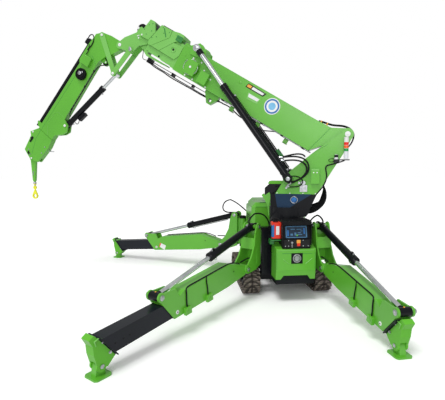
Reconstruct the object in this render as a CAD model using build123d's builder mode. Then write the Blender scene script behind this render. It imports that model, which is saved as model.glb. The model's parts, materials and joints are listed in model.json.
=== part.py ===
from build123d import *
from math import asin, atan2, cos, degrees, hypot, radians, sin
import os

os.makedirs("parts", exist_ok=True)

# A compact crane on rubber tracks, standing on four folding outriggers, with a telescopic
# boom and a folding jib. Millimetres, X to the machine's right, Y forward, Z up.

# Clearances
seat_gap = 0.3
pin_gap = 0.3
rod_gap = 0.5
slide_gap = 5.0

# Where the machine stands in its own frame: the box of the whole crane is centred on the origin
machine_x = 1682
machine_y = -7.8

# Slewing and boom plane
slew_y = -570
boom_azimuth = 158
boom_angle = 31.6
jib_angle = -50.3

# Undercarriage
track_x = 530
track_width = 240
track_rear_y = -545
track_front_y = 505
track_radius = 185
shoe_height = 25
shoe_length = 30
belt_thickness = 25
shoes_per_run = 16
shoes_per_end = 9
deck_half_width = 260
deck_rear_y = -800
deck_front_y = 950
deck_bottom = 300
deck_top = 620
pedestal_radius = 220
ring_radius = 250
ring_bottom = 1000
ring_top = 1090
cover_half = 272
cover_rear_y = -1060
cover_wall = 8
hood_wall = 6
column_foot = 1464
column_half = 165
column_plate = 20

# Outriggers: node prefix, swing axis x and y, direction in degrees, how far the beam is out
outriggers = (
    ("rear_left", -453, -603, 227.7, 720),
    ("rear_right", 453, -603, -85.6, 0),
    ("front_left", -453, 652, 151.2, 777),
    ("front_right", 453, 652, 85.6, 0),
)
swing_pin_radius = 38
swing_tube_radius = 60
lug_radius = 58
lower_lug = (445, 495)
upper_lug = (945, 985)
lift_pivot = (391, 465)
cylinder_foot = (120, 1009)
rod_pin = (1565, 200)
foot_pin = (1576, -148)
foot_height = 100
outer_half = 90
outer_wall = 8
bracket_plate = 20
rig_barrel_length = 1000
rig_barrel_radius = 48
rig_rod_radius = 28
rig_rod_length = 1100
fork_half = 70
pad_half = 90
pad_thickness = 16
foot_half = 55
foot_jaw = 34

# Boom: section half widths, bottom and top, all measured from the main pin along the boom
main_pin = (-817, 2282)
main_pin_radius = 40
boom_half = 130
boom_bottom = -450
boom_top = -40
boom_wall = 8
boom_mouth = 2704
box_start = 500
section_start = 560
wear_pad = 100

# Boom cylinders
luff_foot = (-43, 1681)
luff_ear = (boom_mouth - 246, -20)
luff_plane = 230
luff_barrel_length = 1623
luff_barrel_radius = 50
luff_rod_radius = 35
luff_rod_length = 1725
luff_eye_half = 36

# Jib, with its box and its four-bar linkage: the pins on the boom's head are measured from
# the boom's mouth, those on the jib from the knuckle
head_sheave = (803, -166)
knuckle_pin = (1010.4, -542.7)
link_1_pin = (66, 374)
link_2_pin = (800, -524)
link_meeting = (416, -179)
jib_half = 52
jib_foot = (1636, 58)
jib_barrel_length = 936
jib_barrel_radius = 45
jib_rod_radius = 25
jib_rod_length = 935
nose_pin = (2503, 259)
adapter_inner = 72
adapter_outer = 86
hook_pin_radius = 15
hanger_length = 385


def shifted(plane, x, y, angle=0):
    """A plane's copy, moved in its own axes and turned about its normal."""
    return Plane(plane.location * Location((x, y, 0), (0, 0, angle)))


def slab(plane, near, far, outline=(), rounds=(), holes=(), mode=Mode.ADD):
    """A flat plate between two heights over a plane: an outline, round lobes and holes."""
    with BuildSketch(plane.offset(near), mode=Mode.PRIVATE) as profile:
        if outline:
            with BuildLine():
                Polyline(*outline, close=True)
            make_face()
        for x, y, radius in rounds:
            with Locations((x, y)):
                Circle(radius)
        for x, y, radius in holes:
            with Locations((x, y)):
                Circle(radius, mode=Mode.SUBTRACT)
    extrude(profile.sketch, amount=far - near, mode=mode)


def twin(plane, near, far, outline=(), rounds=(), holes=(), mode=Mode.ADD):
    """The same plate on both sides of a plane."""
    slab(plane, near, far, outline, rounds, holes, mode)
    slab(plane, -far, -near, outline, rounds, holes, mode)


def block(plane, x, y, z, mode=Mode.ADD):
    """A box between two x, two y and two z in a plane's own axes."""
    slab(plane, z[0], z[1], [(x[0], y[0]), (x[1], y[0]), (x[1], y[1]), (x[0], y[1])], mode=mode)


def bar(plane, start, end, radius, depth=0, length=None, mode=Mode.ADD):
    """A round bar from one point of a plane towards another."""
    first = plane.from_local_coords(Vector(start[0], start[1], depth))
    last = plane.from_local_coords(Vector(end[0], end[1], depth))
    with BuildSketch(Plane(origin=first, z_dir=last - first), mode=Mode.PRIVATE) as profile:
        Circle(radius)
    extrude(profile.sketch, amount=length or (last - first).length, mode=mode)


def link_outline(a, b, radius_a, radius_b):
    """The straight sides of a two-ended link, tangent to its round ends."""
    along = atan2(b[1] - a[1], b[0] - a[0])
    lean = asin((radius_a - radius_b) / hypot(b[0] - a[0], b[1] - a[1]))
    left = along + radians(90) - lean
    right = along - radians(90) + lean
    return [
        (a[0] + radius_a * cos(left), a[1] + radius_a * sin(left)),
        (a[0] + radius_a * cos(right), a[1] + radius_a * sin(right)),
        (b[0] + radius_b * cos(right), b[1] + radius_b * sin(right)),
        (b[0] + radius_b * cos(left), b[1] + radius_b * sin(left)),
    ]


def toward(a, b, distance):
    """The point at a distance from a on the way to b."""
    share = distance / hypot(b[0] - a[0], b[1] - a[1])
    return (a[0] + (b[0] - a[0]) * share, a[1] + (b[1] - a[1]) * share)


def finish(part, name):
    part.label = name
    export_step(part, "parts/" + name + ".step")


def finish_weldment(parts, name):
    """Writes plates and blocks that are welded together, each kept as a solid of its own."""
    finish(Compound([solid for part in parts for solid in part.solids()]), name)


def plate(plane, near, far, outline=(), rounds=(), holes=()):
    """One plate as a part of its own."""
    with BuildPart() as piece:
        slab(plane, near, far, outline, rounds, holes)
    return piece.part


def box_plates(plane, start, end, half, low, high, wall):
    """The four plates of a box section, welded edge to edge."""
    made = []
    for bottom, top, near, far in ((low, high, -half, wall - half), (low, high, half - wall, half),
                                   (low, low + wall, wall - half, half - wall),
                                   (high - wall, high, wall - half, half - wall)):
        made.append(plate(plane, near, far, [(start, bottom), (end, bottom), (end, top),
                                             (start, top)]))
    return made


machine = Plane(origin=(machine_x, machine_y, 0))
side = Plane(origin=(machine_x, machine_y, 0), x_dir=(0, 1, 0), z_dir=(1, 0, 0))

turn = radians(boom_azimuth)
boom_side = Plane(
    origin=(machine_x, machine_y + slew_y, 0),
    x_dir=(cos(turn), sin(turn), 0),
    z_dir=(sin(turn), -cos(turn), 0),
)
boom = shifted(boom_side, *main_pin, boom_angle)
mouth = shifted(boom, boom_mouth, 0)


def upright(x, y):
    """A point of the boom's plane in the upright plane through the slewing axis."""
    tilt = radians(boom_angle)
    return (main_pin[0] + x * cos(tilt) - y * sin(tilt), main_pin[1] + x * sin(tilt) + y * cos(tilt))


knuckle = upright(boom_mouth + knuckle_pin[0], knuckle_pin[1])
luff_eye = upright(*luff_ear)
jib = shifted(boom_side, *knuckle, jib_angle)


# Tracks: one closed rubber belt each, with its shoes
for name, sign in (("left", -1), ("right", 1)):
    centre = sign * track_x
    belt_radius = track_radius - shoe_height
    run = track_front_y - track_rear_y
    middle = (track_front_y + track_rear_y) / 2
    with BuildPart() as track:
        with BuildSketch(side.offset(centre - track_width / 2)):
            with Locations((middle, track_radius)):
                SlotCenterToCenter(run, 2 * belt_radius)
                SlotCenterToCenter(run, 2 * (belt_radius - belt_thickness), mode=Mode.SUBTRACT)
            shoe_y = belt_radius + shoe_height / 2 - 1
            with Locations((middle, track_radius)):
                with GridLocations(run / shoes_per_run, 2 * shoe_y, shoes_per_run + 1, 2):
                    Rectangle(shoe_length, shoe_height + 2)
            for end_y, first in ((track_front_y, -90), (track_rear_y, 90)):
                with Locations((end_y, track_radius)):
                    with PolarLocations(shoe_y, shoes_per_end, first, 180, endpoint=True):
                        Rectangle(shoe_height + 2, shoe_length)
            with Locations((middle, -10), (middle, 2 * track_radius + 10)):
                Rectangle(2 * run, 20, mode=Mode.SUBTRACT)
        extrude(amount=track_width)
    finish(track.part, "track_" + name)

    wheel_radius = belt_radius - belt_thickness - seat_gap
    inside_bottom = track_radius - wheel_radius
    with BuildPart() as track_frame:
        slab(side, centre - 45, centre + 45,
             [(-470, 110), (430, 110), (430, 250), (-470, 250)])
        for end_y in (track_rear_y, track_front_y):
            slab(side, centre - 30, centre + 30, rounds=[(end_y, track_radius, wheel_radius)])
            slab(side, centre - 75, centre + 75, rounds=[(end_y, track_radius, 70)])
        for roller_y in (-330, -125, 85, 290):
            slab(side, centre - 85, centre + 85, rounds=[(roller_y, inside_bottom + 42, 42)])
        for roller_y in (-230, 190):
            slab(side, centre - 60, centre + 60,
                 rounds=[(roller_y, track_radius + wheel_radius - 34, 34)])
    finish(track_frame.part, "track_frame_" + name)

# Chassis: a folded deck, cross members to the tracks, the pedestal and the outriggers' lugs
with BuildPart() as chassis_frame:
    block(machine, (-deck_half_width, deck_half_width), (deck_rear_y, deck_front_y),
          (deck_bottom, deck_top))
    block(machine, (-deck_half_width + 12, deck_half_width - 12),
          (deck_rear_y + 12, deck_front_y - 12), (deck_bottom - 1, deck_top - 12), Mode.SUBTRACT)
    for cross_y in (-320, 300):
        block(machine, (-track_x + 45 + seat_gap, track_x - 45 - seat_gap),
              (cross_y - 55, cross_y + 55), (140, 240))
        block(machine, (-deck_half_width, deck_half_width), (cross_y - 55, cross_y + 55), (240, 608))
    slab(machine, deck_top - 12, ring_bottom, rounds=[(0, slew_y, pedestal_radius)])
    slab(machine, deck_top, ring_bottom + 1, rounds=[(0, slew_y, pedestal_radius - 20)],
         mode=Mode.SUBTRACT)
    for post_y, inner in ((-603, 255), (652, 306)):
        block(machine, (-385, 385), (post_y - 56, post_y + 56), (deck_bottom, deck_top))
        for post_x in (-1, 1):
            block(machine, sorted((post_x * inner, post_x * 385)), (post_y - 56, post_y + 56),
                  (deck_bottom, upper_lug[1]))
            for low, high in (lower_lug, upper_lug):
                slab(machine, low, high,
                     [(post_x * 370, post_y - 56), (post_x * 453, post_y - lug_radius),
                      (post_x * 453, post_y + lug_radius), (post_x * 370, post_y + 56)],
                     [(post_x * 453, post_y, lug_radius)])
            slab(machine, lower_lug[0] - 10, upper_lug[1] + 10,
                 rounds=[(post_x * 453, post_y, swing_pin_radius)])
    block(machine, (-300, -190), (-628, -578), (deck_top, upper_lug[1]))
    block(machine, (190, 300), (-628, -578), (deck_top, upper_lug[1]))
    block(machine, (cover_wall + seat_gap - cover_half, cover_half - cover_wall - seat_gap),
          (cover_rear_y + cover_wall + 25, deck_rear_y), (262, 430))
finish(chassis_frame.part, "chassis_frame")

with BuildPart() as slew_ring:
    slab(machine, ring_bottom + seat_gap, ring_top, rounds=[(0, slew_y, ring_radius)],
         holes=[(0, slew_y, 170)])
finish(slew_ring.part, "slew_ring")

# Engine and its hood, a folded cover with cut corners, open to the deck
hood_plan = [(-385, -150), (385, -150), (435, -100), (435, 400), (300, 480), (300, 1000),
             (250, 1050), (-250, 1050), (-300, 1000), (-300, 480), (-435, 400), (-435, -100)]
hood_top = 1290
hood_fold = 70
with BuildPart() as engine_hood:
    slab(machine, deck_top + seat_gap, hood_top, hood_plan)
    chamfer(engine_hood.edges().group_by(Axis.Z)[-1], hood_fold)
    offset(amount=-hood_wall, openings=engine_hood.faces().sort_by(Axis.Z)[0])
finish(engine_hood.part, "engine_hood")

with BuildPart() as engine_block:
    block(machine, (-230, 230), (0, 780), (deck_top + seat_gap, 1060))
finish(engine_block.part, "engine_block")

# Rear cover: upright face with a recess, a sloping shelf above and a raised lip below
shelf = [(deck_rear_y - seat_gap, 801), (-829, 801), (cover_rear_y + 8, 749)]
with BuildPart() as rear_cover:
    slab(side, -cover_half, cover_half,
         [(deck_rear_y - seat_gap, 330), (cover_rear_y + 20, 330), (cover_rear_y, 460),
          (cover_rear_y, 738)] + shelf[::-1])
    slab(side, cover_wall - cover_half, cover_half - cover_wall,
         [(deck_rear_y, 329), (cover_rear_y + 20 + cover_wall, 329),
          (cover_rear_y + cover_wall, 461), (cover_rear_y + cover_wall, 734),
          (cover_rear_y + 12 + cover_wall, 742), (-830, 793), (deck_rear_y, 793)],
         mode=Mode.SUBTRACT)
    rear = Plane(origin=(machine_x, machine_y + cover_rear_y, 0), x_dir=(1, 0, 0), z_dir=(0, -1, 0))
    slab(rear, -40, 1, [(-205, 329), (-165, 385), (165, 385), (205, 329)], mode=Mode.SUBTRACT)
    slab(rear, -4, 1, [(-65, 560), (65, 560), (65, 690), (-65, 690)], mode=Mode.SUBTRACT)
    slab(rear, -3, 1, [(-215, 448), (215, 448), (215, 456), (-215, 456)], mode=Mode.SUBTRACT)
finish(rear_cover.part, "rear_cover")

# Control panel: a box on the shelf with a visor over its leaning screen
with BuildPart() as control_panel:
    slab(side, -184, 196, [(-829, 801 + seat_gap), (-1052, 749 + seat_gap), (-1060, 760),
                           (-1068, 880), (-1050, 888), (-1010, 1062), (-1072, 1070),
                           (-1064, 1120), (-1020, 1134), (-829, 1134)])
    slab(side, -40, 40, [(-836, 860), (slew_y - pedestal_radius - seat_gap, 860),
                         (slew_y - pedestal_radius - seat_gap, 940), (-836, 940)])
finish(control_panel.part, "control_panel")

with BuildPart() as remote_control:
    block(machine, (-310, -184 - seat_gap), (-985, -905), (880, 1095))
    chamfer(remote_control.edges().filter_by(Axis.Z), 14)
finish(remote_control.part, "remote_control")

# Turret: a drum on the slew ring, widening to the foot of the column
with BuildPart() as turret_base:
    slab(machine, ring_top + seat_gap, 1275, rounds=[(0, slew_y, ring_radius)])
    slab(boom_side, -165, 165, [(215, 1150), (215, column_foot), (-430, column_foot),
                                (-289, 1150)])
finish(turret_base.part, "turret_base")

column_sides = [(146, column_foot + seat_gap), (-56, 1785), (-357, 2030), (-530, 2160),
                (-740, 2300), (-817, 2362), (-890, 2250), (-873, 2228), (-761, 2009),
                (-657, 1841), (-562, 1683), (-426, column_foot + seat_gap)]
with BuildPart() as column:
    twin(boom_side, column_half - column_plate, column_half, column_sides,
         [(*main_pin, 80), (*luff_foot, 85)])
    slab(boom_side, -150, 150, [(132, column_foot + seat_gap), (132, column_foot + 20),
                                (-426, column_foot + 20), (-426, column_foot + seat_gap)])
    slab(boom_side, -150, 150, [(139, column_foot + 10), (-56, 1785), (-71, 1776),
                                (122, column_foot + 10)])
    slab(boom_side, -150, 150, [(-426, column_foot + 10), (-562, 1683), (-657, 1841),
                                (-761, 2009), (-746, 2000), (-642, 1832), (-547, 1674),
                                (-411, column_foot + 10)])
    twin(boom_side, boom_half + seat_gap, column_half - column_plate, rounds=[(*main_pin, 75)])
    slab(boom_side, -column_half - 7, column_half + 7, rounds=[(*main_pin, main_pin_radius)])
    twin(boom_side, column_half, luff_plane - luff_eye_half - seat_gap,
         rounds=[(*luff_foot, 65)])
    twin(boom_side, column_half, luff_plane + luff_eye_half + 14, rounds=[(*luff_foot, 30)])
    slab(boom_side, -column_half - 40, -column_half, [(-462, 1612), (-350, 1612), (-350, 1812),
                                                      (-462, 1812)])
finish(column.part, "column")

# Tank box in front of the column, with its lid
with BuildPart() as turret_box:
    slab(boom_side, -120, 120, [(150, column_foot + seat_gap), (60, 1606), (237, 1606),
                                (305, 1545), (305, 1400), (215 + seat_gap, 1400),
                                (215 + seat_gap, column_foot + seat_gap)])
    slab(boom_side, -128, 128, [(61, 1605), (38, 1645), (237, 1645), (262, 1605)])
finish(turret_box.part, "turret_box")

# Signal lamp on its bracket, with a small beacon beside it
lamp_foot = (-801, 1942)
lamp_radius = 30
lamp_depth = -column_half - lamp_radius - 8
with BuildPart() as stack_light:
    bar(boom_side, lamp_foot, (lamp_foot[0], 2240), lamp_radius, lamp_depth)
    slab(boom_side, lamp_depth - 40, -column_half - seat_gap,
         [(-845, 1930), (-640, 1930), (-640, 1943), (-845, 1943)])
    slab(boom_side, -column_half - 8, -column_half - seat_gap,
         [(-720, 1900), (-640, 1900), (-640, 1931), (-720, 1931)])
    bar(boom_side, (-676, 1942), (-676, 2008), 24, lamp_depth)
finish(stack_light.part, "stack_light")

# Boom cylinders, one on each side
with BuildPart() as lift_barrels:
    barrel_start = toward(luff_foot, luff_eye, 74)
    for depth in (-luff_plane, luff_plane):
        bar(boom_side, barrel_start, luff_eye, luff_barrel_radius, depth,
            luff_barrel_length - 74)
        slab(boom_side, depth - luff_eye_half, depth + luff_eye_half,
             link_outline(luff_foot, barrel_start, 58, 50),
             [(*luff_foot, 58)], [(*luff_foot, 30 + pin_gap)])
        bar(boom_side, toward(luff_foot, luff_eye, 84), luff_eye, luff_rod_radius + rod_gap,
            depth, mode=Mode.SUBTRACT)
finish(lift_barrels.part, "lift_barrels")

with BuildPart() as lift_rods:
    for depth in (-luff_plane, luff_plane):
        bar(boom_side, luff_eye, luff_foot, luff_rod_radius, depth, luff_rod_length)
        slab(boom_side, depth - luff_eye_half, depth + luff_eye_half, rounds=[(*luff_eye, 52)])
        edge = depth + (1 if depth > 0 else -1) * luff_eye_half
        slab(boom_side, min(edge, edge + (14 if depth > 0 else -14)),
             max(edge, edge + (14 if depth > 0 else -14)), rounds=[(*luff_eye, 30)])
finish(lift_rods.part, "lift_rods")

# Base boom: a round root on the main pin, a box of four welded plates, and ears for the
# cylinders on its sides
box_top = boom_top - boom_wall
box_bottom = boom_bottom + boom_wall
ear = shifted(boom, *luff_ear)
crown = boom_top - luff_ear[1]
root = plate(boom, -boom_half, boom_half,
             [(39, 67), (232, -32), (422, boom_top), (box_start, boom_top),
              (box_start, boom_bottom), (330, boom_bottom), (60, -120), (-55, -55)],
             [(0, 0, 80)], [(0, 0, main_pin_radius + pin_gap)])
base = [root] + box_plates(boom, box_start, boom_mouth, boom_half, boom_bottom, boom_top,
                           boom_wall)
for way in (-1, 1):
    inside, outside = way * boom_half, way * (boom_half + 20)
    with BuildPart() as cylinder_ear:
        slab(ear, min(inside, outside), max(inside, outside),
             [(-158, -90), (-104, 49), (32, 92), (142, 0), (102, -110)], [(0, 0, 88)])
        boss_end = way * (luff_plane - luff_eye_half - seat_gap)
        slab(ear, min(outside, boss_end), max(outside, boss_end), rounds=[(0, 0, 52)])
    base.append(cylinder_ear.part)
base.append(plate(ear, -boom_half, boom_half, [(-110, crown), (-98, 49), (26, 86), (122, crown)]))
base.append(plate(mouth, -boom_half, boom_half, [(-96, boom_top), (-88, -14), (-10, -14),
                                                 (0, boom_top)]))
base.append(plate(mouth, -60, 60, [(-wear_pad - 10, box_bottom), (-10, box_bottom),
                                   (-10, box_bottom + slide_gap - seat_gap),
                                   (-wear_pad - 10, box_bottom + slide_gap - seat_gap)]))
base.append(plate(mouth, -40, 40, [(-834, boom_bottom), (-591, boom_bottom), (-591, -480),
                                   (-694, -618), (-754, -618), (-834, -500)],
                  holes=[(-724, -560, 28)]))
base.append(plate(mouth, -200, -boom_half, [(-596, -422), (-451, -422), (-451, -249),
                                            (-596, -249)]))
finish_weldment(base, "boom_base")

# Hose reel under its cover on the near side
reel = (-272, -291)
with BuildPart() as hose_reel:
    slab(mouth, -boom_half - 22, -boom_half - seat_gap, rounds=[(*reel, 60)])
    slab(mouth, -boom_half - 60, -boom_half - 22, rounds=[(*reel, 115)])
    slab(mouth, -boom_half - 72, -boom_half - 60, [(-368, -398), (-188, -398), (-188, -187),
                                                   (-368, -187)])
finish(hose_reel.part, "hose_reel")

# Telescopic sections: each a box of four plates, with cheeks at its head that fan out over
# one another. Outlines from the side, from the base's mouth on
cheek_1 = [(178, -109), (5, -95), (6, -236), (52, -318), (333, -313)]
cheek_2 = [(77, 57), (58, 9), (170, -94), (185, -110), (340, -313), (492, -310), (271, -74),
           (285, 33), (155, 59)]
cheek_3 = [(292, 33), (277, -73), (498, -310), (558, -312), (572, -258), (522, -106), (484, 30)]
cheek_4 = [(693, 19), (617, 23), (529, -107), (578, -258), (745, -264), (738, -177)]
crown_2 = [(77, 57), (58, 9), (126, -54), (273, -54), (285, 33), (155, 59)]
crown_3 = [(292, 33), (279, -60), (508, -60), (484, 30)]
crown_4 = [(693, 19), (617, 23), (565, -54), (733, -54)]
section_step = slide_gap + boom_wall


def section_size(index):
    """Half width, bottom and top of a telescopic section, counted from the base."""
    inset = index * section_step
    return boom_half - inset, boom_bottom + inset, boom_top - inset


for index, (cheek, crown, reach) in enumerate(
        ((cheek_1, None, 66), (cheek_2, crown_2, 266), (cheek_3, crown_3, 518)), 1):
    half, low, high = section_size(index)
    start = section_start + 20 * (index - 1)
    section = box_plates(boom, start, boom_mouth + reach, half, low, high, boom_wall)
    section.append(plate(mouth, -boom_half, -half, cheek))
    section.append(plate(mouth, half, boom_half, cheek))
    if crown:
        section.append(plate(mouth, -half, half, crown))
    floor = low + boom_wall
    section.append(plate(mouth, -50, 50, [(reach - wear_pad - 10, floor), (reach - 10, floor),
                                          (reach - 10, low + section_step - seat_gap),
                                          (reach - wear_pad - 10, low + section_step - seat_gap)]))
    finish_weldment(section, "boom_section_" + str(index))

adapter = [(696, -120), (738, -150), (803, -136), (833, -166), (841, -250), (992, -407),
           (1062, -543), (996, -590), (764, -560), (707, -406), (596, -330), (578, -258)]
half, low, high = section_size(4)
head = box_plates(boom, section_start + 60, boom_mouth + 578, half, low, high, boom_wall)
head.append(plate(mouth, -boom_half, -adapter_outer, cheek_4))
head.append(plate(mouth, adapter_outer, boom_half, cheek_4))
with BuildPart() as head_block:
    slab(mouth, -adapter_inner, adapter_inner, [(578, -258), (586, -330), (716, -330), (745, -264),
                                                (738, -177), (596, -150)])
    slab(mouth, -adapter_outer, adapter_outer, crown_4)
    slab(mouth, -60, 60, [(531, -330), (616, -330), (676, -404), (528, -478), (306, -470),
                          (143, -458), (156, -443), (531, -443)])
    slab(mouth, -50, 50, rounds=[(*head_sheave, 90)], mode=Mode.SUBTRACT)
head.append(head_block.part)
for way in (-1, 1):
    inside, outside = way * adapter_inner, way * adapter_outer
    with BuildPart() as fork:
        slab(mouth, min(inside, outside), max(inside, outside), adapter,
             [(*knuckle_pin, 60), (*link_2_pin, 45)])
        slab(mouth, min(outside, way * 106), max(outside, way * 106), rounds=[(*link_2_pin, 20)])
    head.append(fork.part)
head.append(plate(mouth, -adapter_inner, adapter_inner, rounds=[(*knuckle_pin, 28)]))
head.append(plate(mouth, -adapter_inner, adapter_inner, rounds=[(*head_sheave, 15)]))
finish_weldment(head, "boom_head")

with BuildPart() as head_sheaves:
    bore = [(*head_sheave, 15 + pin_gap)]
    for depth in (-32, 0, 32):
        slab(mouth, depth - 12, depth + 12, rounds=[(*head_sheave, 85)], holes=bore)
    slab(mouth, -44, 44, rounds=[(*head_sheave, 30)], holes=bore)
finish(head_sheaves.part, "head_sheaves")

# Jib: a box that carries a sliding inner box, and the links that fold it
jib_outline = [(154, 482), (119, 486), (27, 395), (-21, 225), (-42, 70), (-45, -20), (66, -30),
               (197, 45), (291, 119), (437, 179), (1560, 130), (1600, 20), (1700, -33),
               (1788, 6), (1900, 126), (1990, 126), (1990, 455), (658, 455), (600, 500),
               (300, 500)]
jib_pulley = (369, 84)
tunnel_bottom = 190
tunnel_top = 446
with BuildPart() as jib_base:
    slab(jib, -jib_half, jib_half, jib_outline, [(0, 0, 55)])
    slab(jib, -jib_half + 7, jib_half - 7, [(600, tunnel_bottom), (1991, tunnel_bottom),
                                            (1991, tunnel_top), (600, tunnel_top)],
         mode=Mode.SUBTRACT)
    slab(jib, -28 - seat_gap, 28 + seat_gap, [(1500, 128), (1560, -60), (1850, -60),
                                              (1850, 128)], mode=Mode.SUBTRACT)
    slab(jib, -84, 84, rounds=[(0, 0, 28 + pin_gap)], mode=Mode.SUBTRACT)
    twin(jib, jib_half, adapter_inner - seat_gap, rounds=[(0, 0, 50)], holes=[(0, 0, 28 + pin_gap)])
    slab(jib, -30, 30, [(1880, tunnel_bottom - 1), (1980, tunnel_bottom - 1),
                        (1980, tunnel_bottom + 5 - seat_gap),
                        (1880, tunnel_bottom + 5 - seat_gap)])
    slab(jib, -69, 69, rounds=[(*link_1_pin, 20)])
    slab(jib, -60, 60, rounds=[(*jib_foot, 18)])
    slab(jib, -12, 12, rounds=[(*jib_pulley, 60)])
    twin(jib, 12, 20, [(325, 160), (413, 180), (393, 84), (345, 84)], [(*jib_pulley, 24)])
finish(jib_base.part, "jib_base")

with BuildPart() as jib_ext_barrel:
    bar(jib, (300, 500 + 27), (1990, 500 + 27), 25)
    slab(jib, -30, 30, [(240, 560), (345, 600), (345, 500 + seat_gap), (300, 500 + seat_gap)])
finish(jib_ext_barrel.part, "jib_ext_barrel")

with BuildPart() as jib_reel:
    slab(jib, -100, -jib_half - seat_gap, rounds=[(776, 307, 60)])
    slab(jib, -92, -jib_half - 8, rounds=[(776, 307, 95)])
finish(jib_reel.part, "jib_reel")

with BuildPart() as link_1:
    twin(jib, jib_half + seat_gap, jib_half + 14,
         link_outline(link_1_pin, link_meeting, 45, 38),
         [(*link_1_pin, 45), (*link_meeting, 38)], [(*link_1_pin, 20 + pin_gap)])
    twin(jib, jib_half + 13, adapter_outer, rounds=[(*link_meeting, 25)])
finish(link_1.part, "link_1")

meeting = jib.from_local_coords(Vector(link_meeting[0], link_meeting[1], 0))
meeting = mouth.to_local_coords(meeting)
meeting = (meeting.X, meeting.Y)
with BuildPart() as link_2:
    twin(mouth, adapter_outer + seat_gap, adapter_outer + 14,
         link_outline(link_2_pin, meeting, 42, 38),
         [(*link_2_pin, 42), (*meeting, 38)], [(*link_2_pin, 20 + pin_gap)])
finish(link_2.part, "link_2")

with BuildPart() as jib_cylinder_barrel:
    barrel_start = toward(jib_foot, link_meeting, 70)
    bar(jib, barrel_start, link_meeting, jib_barrel_radius, length=jib_barrel_length - 70)
    slab(jib, -28, 28, link_outline(jib_foot, barrel_start, 42, 42),
         [(*jib_foot, 42)], [(*jib_foot, 18 + pin_gap)])
    bar(jib, toward(jib_foot, link_meeting, 80), link_meeting, jib_rod_radius + rod_gap,
        mode=Mode.SUBTRACT)
finish(jib_cylinder_barrel.part, "jib_cylinder_barrel")

with BuildPart() as jib_cylinder_rod:
    bar(jib, link_meeting, jib_foot, jib_rod_radius, 0, jib_rod_length)
    slab(jib, -jib_half, jib_half, rounds=[(*link_meeting, 36)])
finish(jib_cylinder_rod.part, "jib_cylinder_rod")

with BuildPart() as jib_inner:
    slab(jib, -jib_half + 12, jib_half - 12,
         [(900, tunnel_bottom + 5), (2010, tunnel_bottom + 5), (2010, tunnel_top - 5),
          (900, tunnel_top - 5)])
    slab(jib, -jib_half, jib_half,
         [(1996, 124), (1996, 455), (2148, 559), (2195, 508), (2472, 469), (2501, 381),
          (2538, 259), (2478, 122), (2150, 98)], [(*nose_pin, 40)])
    slab(jib, -21, 21, [(2400, 60), (2600, 60), (2600, 345), (2450, 345), (2400, 290)],
         mode=Mode.SUBTRACT)
    slab(jib, -58, 58, rounds=[(*nose_pin, hook_pin_radius)])
finish(jib_inner.part, "jib_inner")

# Hook: a hanger on the nose pin and a swivelling hook under it
hanger_top = jib.from_local_coords(Vector(nose_pin[0], nose_pin[1], 0))
hanger_plane = Plane(origin=hanger_top, x_dir=boom_side.x_dir, z_dir=boom_side.z_dir)
hook_ring = (0, -662)
with BuildPart() as hook_hanger:
    slab(hanger_plane, -20, 20, link_outline((0, 0), (0, -hanger_length), 56, 24),
         [(0, 0, 56), (0, -hanger_length, 24)], [(0, 0, hook_pin_radius + pin_gap)])
    with BuildSketch(Plane(origin=hanger_top - Vector(0, 0, 440)), mode=Mode.PRIVATE) as foot:
        Circle(20)
    extrude(foot.sketch, amount=50)
finish(hook_hanger.part, "hook_hanger")

with BuildPart() as hook:
    with BuildSketch(Plane(origin=hanger_top - Vector(0, 0, 470)), mode=Mode.PRIVATE) as cap:
        Circle(24)
    extrude(cap.sketch, amount=30 - seat_gap)
    with BuildSketch(Plane(origin=hanger_top - Vector(0, 0, 560)), mode=Mode.PRIVATE) as stem:
        Circle(12)
    extrude(stem.sketch, amount=95)
    slab(hanger_plane, -11, 11, rounds=[(0, -515, 32)], holes=[(0, -515, 14)])
    slab(hanger_plane, -14, 14, link_outline(hook_ring, (0, -570), 54, 14),
         [(*hook_ring, 54), (0, -570, 14)], [(*hook_ring, 32)])
finish(hook.part, "hook")

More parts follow.
